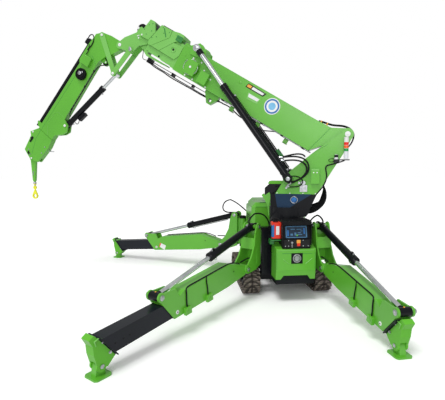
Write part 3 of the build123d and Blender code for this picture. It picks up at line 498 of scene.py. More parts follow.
def fit_boom():
    """Boom fittings."""
    side = -131
    for name, paint, layer, outline in (("boom_strip", BLACK, 1, [(1553, -70), (1248, -79),
            (1278, -135), (1574, -134)]), ("boom_strip_white", WHITE, 2, [(1468, -84), (1276, -90),
            (1292, -122), (1478, -122)]), ("boom_strip_orange", ORANGE, 2, [(1548, -82), (1484, -84),
            (1494, -122), (1558, -122)]), ("boom_small_badge", LIT_GREEN, 1, [(1494, -179),
            (1285, -179), (1302, -262), (1470, -273)]), ("boom_small_badge_white", WHITE, 2,
            [(1478, -190), (1300, -190), (1312, -232), (1462, -238)])):
        on_boom(name, paint, 0, (slab, outline, side - layer, side - layer + 1))
    for name, paint, layer, radius in (("boom_disc_white", WHITE, 1, 115), ("boom_disc_blue", BLUE, 2,
            103), ("boom_disc_inner", WHITE, 3, 80), ("boom_disc_sky", SKY, 4, 52)):
        on_boom(name, paint, 0, (bar, (1089, -184, side - layer + 1), (1089, -184, side - layer),
            radius, None, 48))
    on_boom("boom_bolts", WHITE, 0, *((stud, x, y, -130, 13, -7) for x, y in ((2480, -156),
        (2335, -153), (2483, -428), (2345, -428), (2240, -232), (2090, -300), (2105, -430))),
        (stud, 2432, -291, -202, 17, -5))
    on_boom("boom_reel_rim", STEEL, 0, (ring, (2432, -291, -190), (0, 0, 1), 112, 5, 40))
    on_boom("boom_side_screws", GREEN, 0, (stud, 2590, -232, -130, 16, -4), (stud, 2620, -180, -130, 11,
        -4), (stud, 1672, -120, -130, 20, -4))
    # Paler strips along the boom's top and bottom edges: painted highlights where the edges catch the
    # light
    on_boom("boom_weld_seams", LIT_GREEN, 0, *((box, (505, 2700), (y - 2.5, y + 2.5), (129.5, 132))
        for y in (-43, -447)), both=True)
    on_boom("boom_root_seam", DARK_GREEN, 0, (bar, (236, -36, 130), (330, -448, 130), 2.5, None, 8),
        both=True)
    with piece("boom_underside_tabs", "base_boom", BOOM, GREEN, 2) as bm:
        for x in (1155, 1615, 680):
            box(bm, (x - 34, x + 34), (-540, -450), (-46, -26))
            box(bm, (x - 34, x + 34), (-540, -528), (-46, 46))
    on_boom("boom_underside_pipes", STEEL, 0, *((bar, (300, y, depth), (1820, y, depth), 8, None, 12)
        for depth, y in ((-96, -458), (-74, -460), (64, -459), (86, -459))))
    with piece("boom_pipe_clamps", "base_boom", BOOM, BLACK, 1.5) as bm:
        for x in (420, 760, 1100, 1440, 1780):
            box(bm, (x - 20, x + 20), (-472, -450), (-110, -60))
            box(bm, (x - 20, x + 20), (-472, -450), (50, 100))
    on_head("boom_slide_pipes", HOSE, 0, *((bar, (3140, -510, depth), (1900, -490, depth), 5, None, 12)
        for depth in (-34, -8, 20)))
    on_head("boom_slide_clamps", BLACK, 2, (box, (3128, 3190), (-556, -478), (-58, 58)),
        (box, (2690, 2722), (-545, -492), (-48, 48)), (box, (2320, 2346), (-532, -484), (-40, 40)),
        (box, (1575, 1640), (-545, -541), (-30, 30)))
    hose("boom_slide_hose", BOOM, 9, [(3180, -540, -12), (3040, -566, -12), (2900, -552, -10),
        (2740, -572, -8), (2600, -566, -6), (2440, -562, -6), (2280, -556, -8), (2140, -560, -10),
        (1960, -540, -12), (1820, -500, -14)], "head")
    hose("boom_slide_hose_2", BOOM, 7, [(3180, -525, 14), (3010, -548, 14), (2860, -538, 12),
        (2690, -548, 12), (2500, -545, 12), (2300, -540, 14), (2120, -544, 14), (1940, -528, 12),
        (1800, -495, 10)], "head")
    for number, depth in enumerate((-20, 8)):
        hose("boom_return_hose_%d" % number, BOOM, 9, flat(depth, (1870, -500), (1800, -505),
            (1720, -492), (1640, -494), (1520, -528), (1400, -545), (1290, -520), (1180, -505)),
            "base_boom")
    hose("boom_under_loop", BOOM, 8, [(1160, -530, 20), (1110, -545, 20), (1040, -540, 10),
        (960, -490, 0), (880, -458, -10)], "base_boom")
    with piece("lift_barrel_glands", "lift_barrel_pair", COLUMN, BLACK) as bm:
        foot = Vector((*LIFT_FOOT, 0))
        eye = Vector((*LIFT_EYE, 0))
        way = (eye - foot).normalized()
        for depth in (-230, 230):
            offset = Vector((0, 0, depth))
            bar(bm, foot + way * 1560 + offset, foot + way * 1626 + offset, 57, sides=32)
            bar(bm, foot + way * 1380 + offset, foot + way * 1440 + offset, 54, sides=32)
            bar(bm, foot + way * 92 + offset, foot + way * 130 + offset, 55, sides=32)
    with piece("lift_barrel_ports", "lift_barrel_pair", COLUMN, STEEL) as bm:
        cross = Vector((way.y, -way.x, 0))
        for depth in (-230, 230):
            offset = Vector((0, 0, depth))
            for along in (110, 1400):
                start = foot + way * along + offset - cross * 40
                bar(bm, start, start - cross * 34, 15, sides=6)
    with piece("lift_barrel_pipes", "lift_barrel_pair", COLUMN, HOSE) as bm:
        for depth in (-230, 230):
            run = Vector((0, 0, depth)) - cross * 60
            bar(bm, foot + way * 150 + run, foot + way * 1400 + run, 8, sides=12)
    with piece("lift_rod_ends", "lift_rod_pair", COLUMN, BLACK) as bm:
        for depth in (-230, 230):
            end = eye + Vector((0, 0, depth))
            bar(bm, end - way * 118, end - way * 42, 47, sides=28)
    carried("base_boom", COLUMN)("lift_pins", STEEL, 0, (pin_head, *LIFT_EYE, 280, 28), both=True)
    on_turret("lift_foot_pins", STEEL, 0, (pin_head, *LIFT_FOOT, 280, 28), both=True)
    for number, depth in enumerate((-60, -25, 15)):
        hose("root_hose_%d" % number, BOOM, 10, flat(depth, (430, -30), (360, -8), (270, 2), (190, 36),
            (104, 82), (5, 92), (-62, 62), (-98, 0), (-112, -70), (-100, -140)), "base_boom", "turret")
    on_boom("root_hose_clamps", ORANGE, 1.5, (box, (385, 402), (-40, -8), (-76, 32)), (box, (300, 316),
        (-36, 8), (-76, 32)))
    on_head("head_hoses_guard", BLACK, 2, (slab, [(3402, 16), (3318, 14), (3300, 4), (3242, -69),
        (3262, -74), (3330, -6), (3400, 2)], -84, 84), (slab, [(3436, -12), (3402, 16), (3396, 4),
        (3430, -62)], -84, 84))
    on_section_3("section_guards", BLACK, 2, (slab, [(3190, 34), (2990, 36), (2986, 46), (3188, 46)],
        -80, 80))
    on_section_2("section_plates", DARK_GREEN, 2, (box, (2772, 2880), (-62, 20), (-134, -130)))
    on_section_2("section_2_holes", LIT_GREEN, 1.5, (stud, 2838, -20, 130, 14, 4), (stud, 2900, 10,
        130, 8, 4), both=True)
    on_section_1("section_1_eye", LIT_GREEN, 0, (ring, (2836, -196, 131), (0, 0, 1), 38, 5), both=True)
    # Black discs in the eyes of sections 1 and 3: painted shade inside the holes
    on_section_1("section_1_eye_hole", BLACK, 0, (stud, 2836, -196, 130, 17, 3), both=True)
    on_section_3("section_3_eye_hole", BLACK, 0, (stud, 3020, -388, 91, 15, 3), both=True)
    on_section_3("section_3_screws", DARK_GREEN, 0, *((stud, x, y, 130, 7, 4, 12)
        for x, y in ((3020, -10), (3098, -60), (3150, 8), (3180, -160), (3246, -200))),
        (slab, [(3034, -90), (3046, -98), (3132, 2), (3118, 10)], 130, 133), both=True)
    on_head("head_screws", DARK_GREEN, 0, *((stud, x, y, 130, 7, 4, 12) for x, y in ((3332, -20),
        (3380, -60), (3420, -150), (3300, -120), (3356, -200))), both=True)
    on_head("head_white_bolts", WHITE, 0, (stud, 3548, -178, 86, 20, 8), (stud, 3440, -306, 130, 12, 7),
        (stud, 3416, -240, 130, 12, 7), (bar, (3500, -290, 92), (3452, -268, 126), 8), (pin_head, 3714,
        -543, 86, 27), both=True)
    on_head("link_2_pins", STEEL, 0, (pin_head, 3504, -524, 106, 26), (box, (3500, 3536), (-510, -488),
        (102, 110)), both=True)
    hose("head_tail_hose", BOOM, 5, [(3180, -520, -40), (3260, -560, -50), (3290, -520, -60),
        (3300, -450, -64), (3330, -420, -66)], "head")


class CRANE_OT_boom(bpy.types.Operator):
    """Fits the boom: badges, covers' bolts, pins, pipes and hoses"""

    bl_idname = "crane.boom"
    bl_label = "Boom fittings"

    def execute(self, context):
        fit_boom()
        return {"FINISHED"}


def fit_jib():
    """Jib fittings."""
    on_jib("jib_cover", GREEN, 3, (slab, [(484, 459), (466, 286), (613, 262), (631, 446)], -97, -52))
    on_jib("jib_reel_hub", STEEL, 0, (stud, 770, 322, -101, 30, -8), (bar, (722, 300, -98),
        (742, 282, -98), 7, None, 8))
    on_jib("jib_reel_rim", PLASTIC, 0, (ring, (776, 307, -96), (0, 0, 1), 88, 5),
        *((bar, (*inner, -101), (*outer, -97), 4, None, 8) for inner, outer in zip(around(776, 307, 30,
        6), around(776, 307, 84, 6))))
    on_jib("jib_reel_bolts", BLACK, 0, *((stud, x, y, -92, 7, -8, 10) for x, y in around(776, 307, 74,
        12)))
    on_jib("jib_pins", WHITE, 0, (pin_head, 66, 374, 69, 20), (pin_head, *JIB_FOOT, 60, 22), both=True)
    on_link("link_pins", WHITE, 0, (pin_head, *JIB_EYE, 100, 22), both=True)
    on_jib("jib_seams", DARK_GREEN, 0, (bar, (640, 398, 52), (1985, 398, 52), 2, None, 8),
        (bar, (430, 330, 52), (520, 160, 52), 2, None, 8), both=True)
    # Thin pale lines round the edge of the jib's foot plate, both sides: painted highlight along the
    # edge
    with piece("jib_foot_plate", "jib", JIB, LIT_GREEN, both=True) as bm:
        path = [(1540, 150), (1540, 300), (1600, 352), (1720, 360), (1860, 330), (1985, 236)]
        for start, end in zip(path, path[1:]):
            bar(bm, (*start, 52.5), (*end, 52.5), 2.2, sides=8)
    on_jib("jib_pulley_face", PLASTIC, 0, (bar, (369, 84, 12), (369, 84, 15), 58, 54, 32), both=True)
    on_jib("jib_pulley_pin", WHITE, 0, (stud, 369, 84, 20, 13, 7), both=True)
    hose("jib_under_hose", JIB, 8, [(424, 68, -42), (452, 120, -42), (560, 158, -42), (736, 150, -42),
        (960, 138, -42), (1180, 132, -42), (1340, 128, -44), (1432, 112, -44), (1462, 70, -48)], "jib")
    on_jib("jib_hose_clamps", BLACK, 1.5, *((box, (x - 14, x + 14), (y - 12, y + 20), (-52, -33))
        for x, y in ((600, 156), (900, 146), (1340, 130))))
    on_jib_barrel("jib_cylinder_valve", BLACK, 3, (slab, [(1245, -80), (1400, -50), (1412, -104),
        (1257, -136)], -34, 34), (stud, 1300, -92, -34, 16, -12), (stud, 1360, -80, -34, 16, -12))
    with piece("jib_cylinder_rings", "jib_barrel", JIB, BLACK) as bm:
        start = Vector((*JIB_FOOT, 0))
        way = (Vector((*JIB_EYE, 0)) - start).normalized()
        bar(bm, start + way * 880, start + way * 940, 51, sides=28)
        bar(bm, start + way * 78, start + way * 120, 50, sides=28)
    with piece("jib_cylinder_ports", "jib_barrel", JIB, STEEL) as bm:
        cross = Vector((way.y, -way.x, 0))
        for along in (120, 860):
            port = start + way * along - cross * 40
            bar(bm, port, port - cross * 30, 12, sides=6)
    hose("jib_cylinder_hose", JIB, 6, [(1420, -92, -20), (1470, -120, -24), (1500, -90, -24),
        (1480, -50, -20)], "jib_barrel")
    on_jib("jib_slide_rings", BLACK, 0, (bar, (300, 527, 0), (346, 527, 0), 31, None, 24),
        (bar, (1930, 527, 0), (1990, 527, 0), 31, None, 24), (box, (262, 330), (540, 604), (-24, 24)))
    hose("jib_top_hose", JIB, 8, [(290, 590, 0), (240, 612, 0), (180, 590, -20), (150, 520, -44),
        (210, 440, -60), (330, 430, -62), (400, 462, -60)], "jib")
    hose("jib_cover_hose", JIB, 6, [(470, 430, -70), (420, 420, -66), (380, 440, -62), (340, 470, -60),
        (300, 500, -40)], "jib")
    on_jib("jib_mouth_plate", GREEN, 2, (slab, [(1900, 420), (1984, 420), (1984, 500), (1930, 556),
        (1906, 556)], 20, 34), both=True)
    on_nose("nose_white_pins", WHITE, 0, (pin_head, 2120, 512, 52, 16), (pin_head, 2503, 259, 58, 16),
        both=True)
    on_nose("nose_black_parts", BLACK, 2, (slab, [(2186, 470), (2230, 496), (2252, 470), (2296, 476),
        (2300, 440), (2240, 436), (2190, 440)], 52, 58), (slab, [(2440, 392), (2478, 384), (2488, 340),
        (2452, 350)], 52, 64), both=True)
    with piece("nose_steel_parts", "jib_extension", JIB, STEEL) as bm:
        for way in (-1, 1):
            for x, y in ((2420, 400), (2466, 330), (2300, 150), (2180, 160)):
                bolt(bm, x, y, way * 52, 9, way)
        bar(bm, (2180, 140, 0), (2180, 44, 0), 7)
        bar(bm, (2180, 44, -64), (2180, 44, 64), 6)
    on_nose("nose_seam", DARK_GREEN, 0, (bar, (2000, 400, 52), (2180, 396, 52), 2, None, 8),
        (bar, (2180, 396, 52), (2440, 300, 52), 2, None, 8), both=True)
    on_hanger("hanger_bolts", STEEL, 0, (bolt, 0, -236, 20, 8), (bolt, 10, -290, 20, 7),
        (slab, [(-8, -240), (8, -246), (20, -296), (6, -302)], 20, 24), both=True)
    on_hanger("hook_swivel_nut", STEEL, 0, (bar, (0, -418, 0), (0, -438, 0), 27, None, 6))
    on_hook("hook_swivel_washer", STEEL, 0, (bar, (0, -441, 0), (0, -449, 0), 29, None, 32),
        (bar, (0, -471, 0), (0, -484, 0), 17, None, 6))
    on_hook("hook_latch", YELLOW, 2, (ring, (0, -515, 0), (0, 0, 1), 23, 10), (bar, (26, -600, 0),
        (40, -640, 0), 10, 8))


class CRANE_OT_jib(bpy.types.Operator):
    """Fits the jib: its cover, reel, hose, pins and the nose"""

    bl_idname = "crane.jib"
    bl_label = "Jib fittings"

    def execute(self, context):
        fit_jib()
        return {"FINISHED"}


def fit_column():
    """Column fittings."""
    near = -165
    on_turret("main_pin_heads", WHITE, 0, (pin_head, -817, 2282, 172, 36), both=True)
    on_turret("sensor_plate", STEEL, 2, (box, (-300, -196), (1496, 1594), (near - 6, near)),
        (bar, (-246, 1624, near), (-246, 1624, near - 26), 36, 32, 32), (bar, (-190, 1622, near),
        (-190, 1622, near - 18), 18, None, 20))
    with piece("sensor_screws", "turret", COLUMN, STEEL) as bm:
        for x in (-284, -212):
            for y in (1512, 1580):
                bolt(bm, x, y, near - 6, 6, -1)
    on_turret("column_box_lid", LIT_GREEN, 2, (box, (-458, -354), (1792, 1816), (-208, near - 40)))
    on_turret("column_box_screws", WHITE, 0, (stud, -384, 1766, -205, 9, -4), (stud, -430, 1766, -205,
        9, -4))
    with piece("column_base_screws", "turret", COLUMN, WHITE) as bm:
        for x in (120, -60, -240, -410):
            stud(bm, x, 1476, near, 8, -5)
            stud(bm, x, 1476, -near, 8, 5)
    on_turret("column_seam", DARK_GREEN, 0, (bar, (-360, 2030, 165), (-560, 2148, 165), 2, None, 8),
        both=True)
    on_barrels("barrel_valve", DARK_GREEN, 3, (slab, [(76, 2010), (156, 2122), (200, 2092),
        (120, 1978)], 204, 250))
    on_barrels("barrel_fittings", STEEL, 0, (bar, (88, 1968, -200), (88, 1968, -226), 16, None, 6),
        (bar, (60, 1926, -200), (60, 1926, -226), 16, None, 6), (crimped_end, (86, 1976, -218),
        (0, 1976, -218)), (crimped_end, (62, 1934, -218), (-20, 1930, -218)))
    on_turret("column_port_fittings", STEEL, 0, (crimped_end, (-52, 1606, -206), (-96, 1640, -206)),
        (bar, (-14, 1552, -165), (-14, 1552, -214), 15, None, 6), (bar, (-14, 1552, -206),
        (-46, 1604, -206), 14), (crimped_end, (-18, 1570, -206), (-86, 1566, -206), 11, 40),
        (bar, (-262, 1984, -165), (-262, 1984, -186), 14, None, 6))
    hose("column_hose_1", COLUMN, 11, [(46, 1980, -218), (-40, 2004, -218), (-130, 2022, -210),
        (-200, 2024, -200), (-250, 2008, -188), (-262, 1984, -178)], "lift_barrel_pair", "turret")
    hose("column_hose_2", COLUMN, 12, [(46, 1978, -218), (-60, 1990, -218), (-180, 1990, -216),
        (-290, 1940, -214), (-332, 1830, -214), (-290, 1726, -212), (-190, 1668, -210),
        (-88, 1632, -208)], "lift_barrel_pair", "turret")
    hose("column_hose_3", COLUMN, 12, [(20, 1930, -218), (-80, 1942, -228), (-200, 1935, -234),
        (-282, 1880, -236), (-304, 1790, -236), (-240, 1700, -232), (-160, 1650, -224),
        (-84, 1622, -214)], "lift_barrel_pair", "turret")
    hose("column_hose_4", COLUMN, 8, [(-60, 1700, -286), (-90, 1724, -280), (-180, 1716, -230),
        (-240, 1670, -206), (-238, 1604, -196), (-180, 1566, -200), (-60, 1567, -206)],
        "lift_barrel_pair", "turret")
    hose("lamp_cable", COLUMN, 9, [(-784, 1930, -196), (-740, 1912, -184), (-640, 1880, -176),
        (-560, 1868, -174), (-536, 1840, -174), (-548, 1780, -174), (-562, 1700, -174),
        (-530, 1600, -174), (-470, 1520, -174), (-420, 1462, -174)], "turret")
    hose("beacon_cable", COLUMN, 4, [(-676, 1936, -214), (-620, 1900, -214), (-572, 1920, -210),
        (-580, 1955, -206), (-640, 1958, -206), (-700, 1940, -200)], "turret")
    on_turret("lamp_foot", WHITE, 2, (box, (-850, -748), (1943, 1951), (-246, -172)),
        (bar, (-676, 1943, -203), (-676, 1966, -203), 26, None, 24))
    on_turret("beacon_cap", PLASTIC, 0, (bar, (-676, 1972, -203), (-676, 2004, -203), 27, 25, 24))
    on_turret("lamp_rings", WHITE, 0, *((bar, (-801, y, -203), (-801, y + 3, -203), 31.5, None, 32)
        for y in (2047, 2088, 2129, 2170, 2234)))
    on_turret("tank_cap_collar", STEEL, 0, (ring, (-120, 1383, near - 4), (0, 0, 1), 46, 7))
    on_turret("tank_cap", BLUE, 0, (stud, -120, 1383, near, 38, -24, 28), (box, (-152, -88),
        (1374, 1392), (near - 32, near - 24)))
    # A blue sheet on both lower sides of the turret: painted reflection in the glossy black plates
    on_turret("tank_plate", REFLECTION_BLUE, 0, (slab, [(150, 1466), (116, 1274), (-60, 1272), (-362, 1466)],
        165, 166), both=True)
    on_turret("turret_lower_plates", BLACK, 2, (slab, [(212, 1152), (212, 1270), (-64, 1270),
        (-350, 1240), (-290, 1152)], 165, 169), both=True)
    on_turret("turret_lock", GREEN, 3, (slab, [(352, 1440), (318, 1466), (296, 1440), (236, 1484),
        (216, 1440), (216, 1388), (240, 1300), (232, 1140), (248, 1138), (262, 1297), (316, 1392)],
        -128, -104))
    for number in range(5):
        depth = -66 + 34 * number
        spread = 16 * number
        hose("turret_bundle_%d" % number, COLUMN, 13, flat(depth, (-470, 1640 + spread), (-536, 1560),
            (-560 + spread, 1440), (-530 + spread, 1330), (-450 + spread, 1250 + spread),
            (-370 + spread, 1200 + spread), (-300 + spread, 1190), (-245, 1200)), "turret")
    hose("tank_hose", COLUMN, 10, [(150, 1560, -122), (120, 1600, -130), (80, 1560, -134),
        (150, 1500, -128), (215, 1450, -124)], "turret")


class CRANE_OT_column(bpy.types.Operator):
    """Fits the column and turret: sensor, box, hoses, lamp and tank cap"""

    bl_idname = "crane.column"
    bl_label = "Column fittings"

    def execute(self, context):
        fit_column()
        return {"FINISHED"}


def fit_outriggers():
    """Outrigger fittings."""
    for name, reach, side in RIGS:
        rig = rig_frame(name)
        beam = beam_frame(name)
        bracket = name + "_bracket_body"
        barrel_body = name + "_barrel_body"
        beam_body = name + "_beam_body"
        inner_body = name + "_inner_body"
        on_beam = carried(beam_body, beam)
        on_inner = carried(inner_body, beam)
        on_bracket = carried(bracket, rig)
        tip = rig.inverted() @ at(beam, *ROD_PIN) / MM
        foot = Vector((*RIG_FOOT, 0))
        way = (Vector((tip.x, tip.y, 0)) - foot).normalized()
        cross = Vector((-way.y, way.x, 0))
        on_bracket(name + "_bracket_pins", STEEL, 0, (pin_head, *RIG_FOOT, 120, 26),
            (pin_head, *RIG_PIVOT, 120, 30), both=True)
        on_bracket(name + "_bracket_bolts", GREEN, 1, (slab, [(96, 500), (180, 500), (172, 700),
            (110, 740)], 112, 116), both=True)
        with piece(name + "_gland", barrel_body, rig, BLACK) as bm:
            bar(bm, foot + way * 930, foot + way * 1003, 56, sides=32)
            bar(bm, foot + way * 66, foot + way * 110, 54, sides=32)
            box_start = foot + way * 900 + cross * 40
            bar(bm, box_start, box_start + cross * 30, 20, sides=8)
        with piece(name + "_barrel_ports", barrel_body, rig, STEEL) as bm:
            for along in (120, 940):
                port = foot + way * along + cross * 44
                bar(bm, port, port + cross * 26, 14, sides=6)
            low = -cross * 58
            bar(bm, foot + way * 180 + low, foot + way * 930 + low, 7, sides=12)
            ring(bm, foot + way * 890 - cross * 66, (0, 0, 1), 22, 4, 20)
        carried(name + "_rod_body", rig)(name + "_eye_sleeve", BLACK, 0, (bar, (tip.x, tip.y, -66),
            (tip.x, tip.y, 66), 46, None, 32), (bar, Vector((tip.x, tip.y, 0)) - way * 40,
            Vector((tip.x, tip.y, 0)) - way * 62, 36, 31, 24))
        with piece(name + "_eye_mark", name + "_rod_body", rig, ORANGE) as bm:
            mark = Vector((tip.x, tip.y, 0)) + cross * 43 - way * 10
            bar(bm, mark, mark + cross * 6, 8, sides=12)
        on_beam(name + "_beam_pins", STEEL, 0, *((pin_head, *ROD_PIN, out * 90, 30, out) for out in (-1,
            1)), (bar, (1565, 200, -side * 98), (1565, 200, -side * 124), 26, None, 24))
        on_beam(name + "_beam_spots", WHITE, 0, (stud, 1366, -34, 90, 22, 5), both=True)
        # Black discs at the beam's holes: painted shade inside them
        on_beam(name + "_beam_holes", BLACK, 0, (stud, 304, 68, 90, 8, 3, 14), (stud, 1366, -34, 95, 8,
            2, 14), both=True)
        with piece(name + "_cable_blocks", beam_body, beam, GREEN, 3) as bm:
            for low, high in ((796, 896), (1176, 1272)):
                box(bm, (low, high), (-110, -30), sorted((side * 90, side * 126)))
                ring(bm, (low + 62, -50, side * 127), (0, 0, 1), 17, 5, 20)
        edge = side * 78
        hose(name + "_beam_cable", beam, 8, [(150, 118, edge), (240, 162, edge), (330, 186, edge),
            (420, 197, edge), (640, 192, edge), (850, 186, edge), (1060, 181, edge), (1190, 178, edge),
            (1216, 160, side * 97), (1214, 90, side * 99), (1224, 20, side * 99),
            (1222, -32, side * 100)], beam_body)
        hose(name + "_beam_drop", beam, 7, [(836, 184, edge), (866, 176, side * 96),
            (868, 110, side * 98), (850, 40, side * 98), (858, -32, side * 100)], beam_body)
        hose(name + "_root_hose", rig, 9, [(215, 560, side * 40), (260, 590, side * 50),
            (330, 600, side * 60), (420, 590, side * 66), (520, 585, side * 74)], bracket, beam_body)
        if reach:
            on_inner(name + "_inner_spots", BLACK, 0, *((stud, x + reach - 720, 4, 77, 10, 2, 14)
                for x in (1985, 2060, 2150)), both=True)
        foot_x = 1576 + reach
        on_inner(name + "_foot_bolts", STEEL, 0, (pin_head, foot_x, -148, 59, 20), (bolt, foot_x - 96,
            -62, 55, 12), (bolt, foot_x - 20, -146, 59, 1), (stud, foot_x - 30, 60, 55, 8, 5),
            both=True)
        on_inner(name + "_foot_cap", LIT_GREEN, 3, (slab, [(foot_x - 34, 96), (foot_x - 4, 126),
            (foot_x + 54, 110), (foot_x + 44, 58), (foot_x + 36, 60), (foot_x + 44, 104),
            (foot_x - 2, 116), (foot_x - 26, 92)], -68, 68))
        if name == "front_left":
            on_beam(name + "_plate", WHITE, 0, (slab, [(1272, 46), (1150, -10), (1188, -92),
                (1306, -26)], -92, -90))
            on_beam(name + "_plate_corner", RED, 0, (slab, [(1272, 46), (1252, 36), (1290, -34),
                (1306, -26)], -93, -92))
        loop = HOSE_LOOPS[name]
        top = max(range(len(loop)), key=lambda step: loop[step][1])
        hose(name + "_hose", rig, 11, loop[:top + 1], "chassis", bracket)
        hose(name + "_cylinder_hose", rig, 11, loop[top:], bracket, barrel_body)


class CRANE_OT_outriggers(bpy.types.Operator):
    """Fits the outriggers: pins, glands, hoses, cables and feet"""

    bl_idname = "crane.outriggers"
    bl_label = "Outrigger fittings"

    def execute(self, context):
        fit_outriggers()
        return {"FINISHED"}


def fit_covers():
    """Covers and controls."""
    face = 1060
    for name, paint, rounding, blocks in (("cover_plate", BLACK, 2,
            [((-66, 92), (548, 692), (1060, 1063))]), ("panel_switch_plate", CAST, 2,
            [((-166, 180), (774, 874), (1062, 1070))]), ("panel_stop_base", ORANGE, 2,
            [((2, 54), (828, 872), (1070, 1078))]), ("panel_stop_button", RED, 2,
            [((8, 50), (790, 828), (1070, 1080))]), ("remote_strip", BLUE, 1.5,
            [((-312, -284), (900, 1070), (980, 988)), ((-313, -309), (900, 1070), (930, 986))]),
            ("remote_label", WHITE, 1.5, [((-258, -214), (930, 1048), (984, 989))]), ("remote_shelf",
            DARK_GREEN, 2, [((-330, -188), (852, 864), (880, 1000))]), ("panel_side_blocks", DARK_GREEN,
            3, [((-318, -262), (786, 852), (800, 900))])):
        on_rear(name, paint, rounding, *((box, *block) for block in blocks))
    on_rear("cover_badge", STEEL, 0, (bar, (13, 620, face + 3), (13, 620, face + 6), 58, 56, 40))
    on_rear("cover_badge_inset", CAST, 0, (ring, (13, 620, face + 5), (0, 0, 1), 40, 4, 32))
    # Pale ribs on the cover's creases and along its top: painted highlights where the creases catch the
    # light
    on_rear("cover_creases", LIT_GREEN, 0, *((bar, (*start, face), (*end, face), 4, None, 8)
        for start, end in (((-180, 616), (-92, 542)), ((132, 542), (226, 618)))),
        (bar, (-244, 728, face - 4), (244, 728, face - 4), 6, None, 8))
    on_rear("cover_shadow_lines", DARK_GREEN, 0, (bar, (-190, 690, face - 1), (-66, 688, face - 1), 3,
        None, 8), (bar, (92, 688, face - 1), (226, 680, face - 1), 3, None, 8),
        *((bar, (way * 262, 700, face - 1), (way * 262, 470, face - 1), 2.5, None, 8) for way in (-1,
        1)))
    tilt = Vector((0, -0.9743, 0.2252))
    screen = upright(MACHINE + Vector((0, -1.0506, 0.888)), tilt, Vector((1, 0, 0)))
    on_screen = carried("chassis", screen)
    on_screen("screen_bezel", BEZEL, 2, *((box, x, y, (0, 9)) for x, y in (((-142, -126), (8, 168)),
        ((136, 152), (8, 168)), ((-142, 152), (8, 20)), ((-142, 152), (154, 168)))))
    on_screen("screen_glass", GLASS, 0, (box, (-126, 136), (20, 154), (0, 3)))
    on_screen("screen_side_strips", BLUE, 0, (box, (-120, -98), (34, 112), (3, 5)), (box, (106, 124),
        (60, 140), (3, 5)))
    on_screen("screen_figures", BEZEL, 0, *((box, (x, x + width), (y, y + height), (3, 4.5))
        for x, y, width, height in ((-70, 118, 60, 12), (10, 118, 70, 8), (-76, 40, 34, 26),
        (-20, 40, 26, 40), (24, 48, 60, 10), (24, 72, 44, 10), (60, 96, 34, 8))))
    on_screen("screen_lamp", GREEN, 0, (bar, (14, 42, 3), (14, 42, 6), 11, None, 16))
    on_rear("panel_visor", PLASTIC, 3, (box, (-190, 202), (1070, 1120), (1040, 1080)),
        *((slab, [(way[0], 800), (way[1], 800), (way[1], 1118), (way[0], 1118)], 1000, 1072)
        for way in ((-196, -184), (196, 208))))
    on_rear("panel_screws", STEEL, 0, *((stud, x, y, 1070, 7, 4, 14) for x, y in ((-108, 866),
        (-108, 790), (92, 866), (92, 790), (-150, 790), (164, 790))), (bar, (-62, 838, 1070),
        (-62, 838, 1082), 17, 14, 24), (bar, (-62, 806, 1070), (-62, 806, 1080), 8, None, 16),
        (bar, (-62, 782, 1070), (-62, 782, 1080), 8, None, 16))
    on_rear("remote_levers", CAST, 0, *((bar, (x, 1095, 945), (x, 1122, 950), 5, 7, 12) for x in (-290,
        -262, -234, -206)), (box, (-296, -198), (862, 882), (910, 980)))
    on_rear("remote_bumpers", RED, 3, (slab, [(-316, 1060), (-316, 1100), (-296, 1108), (-296, 1062)],
        906, 992), (slab, [(-180, 1030), (-180, 1066), (-206, 1106), (-214, 1100)], 906, 992))
    hose("panel_cable", REAR, 9, [(-190, 1120, 900), (-240, 1160, 880), (-300, 1130, 860),
        (-330, 1040, 830), (-300, 960, 810)], "chassis")
    hose("panel_cable_2", REAR, 9, [(150, 1120, 880), (200, 1150, 850), (236, 1080, 820),
        (230, 980, 806)], "chassis")
    with piece("hood_seams", "chassis", GROUND, DARK_GREEN) as bm:
        for height in (640, 1226):
            for way in (-1, 1):
                bar(bm, (way * 436, -96, height), (way * 436, 396, height), 2.5, sides=8)
                bar(bm, (way * 301, 486, height), (way * 301, 996, height), 2.5, sides=8)
            bar(bm, (-246, 1051, height), (246, 1051, height), 2.5, sides=8)
            bar(bm, (-380, -151, height), (380, -151, height), 2.5, sides=8)
    with piece("hood_louvres", "chassis", GROUND, BLACK, 1.5) as bm:
        for way in (-1, 1):
            for step in range(7):
                low = 860 + 34 * step
                box(bm, sorted((way * 434, way * 441)), (40, 300), (low, low + 14))
                box(bm, sorted((way * 299, way * 306)), (580, 900), (low, low + 14))
        for step in range(6):
            low = 740 + 34 * step
            box(bm, (-180, 180), (1049, 1056), (low, low + 14))
    on_ground("hood_latches", STEEL, 2, *((box, sorted((way * x, way * (x + 11))), y, (700, 760))
        for x, y in ((434, (-60, -20)), (434, (330, 370)), (299, (930, 970))) for way in (-1, 1)))
    on_ground("hood_top_vent", DARK_GREEN, 2, (box, (-300, -160), (-92, -62), (1288, 1294)),
        (box, (-180, 180), (120, 360), (1288, 1293)))
    on_ground("hood_exhaust", CAST, 0, (bar, (170, 880, 1286), (170, 880, 1326), 34, None, 24),
        (bar, (170, 880, 1326), (170, 880, 1332), 38, 32, 24))


class CRANE_OT_covers(bpy.types.Operator):
    """Fits the covers, the control panel and the remote control"""

    bl_idname = "crane.covers"
    bl_label = "Covers and controls"

    def execute(self, context):
        fit_covers()
        return {"FINISHED"}


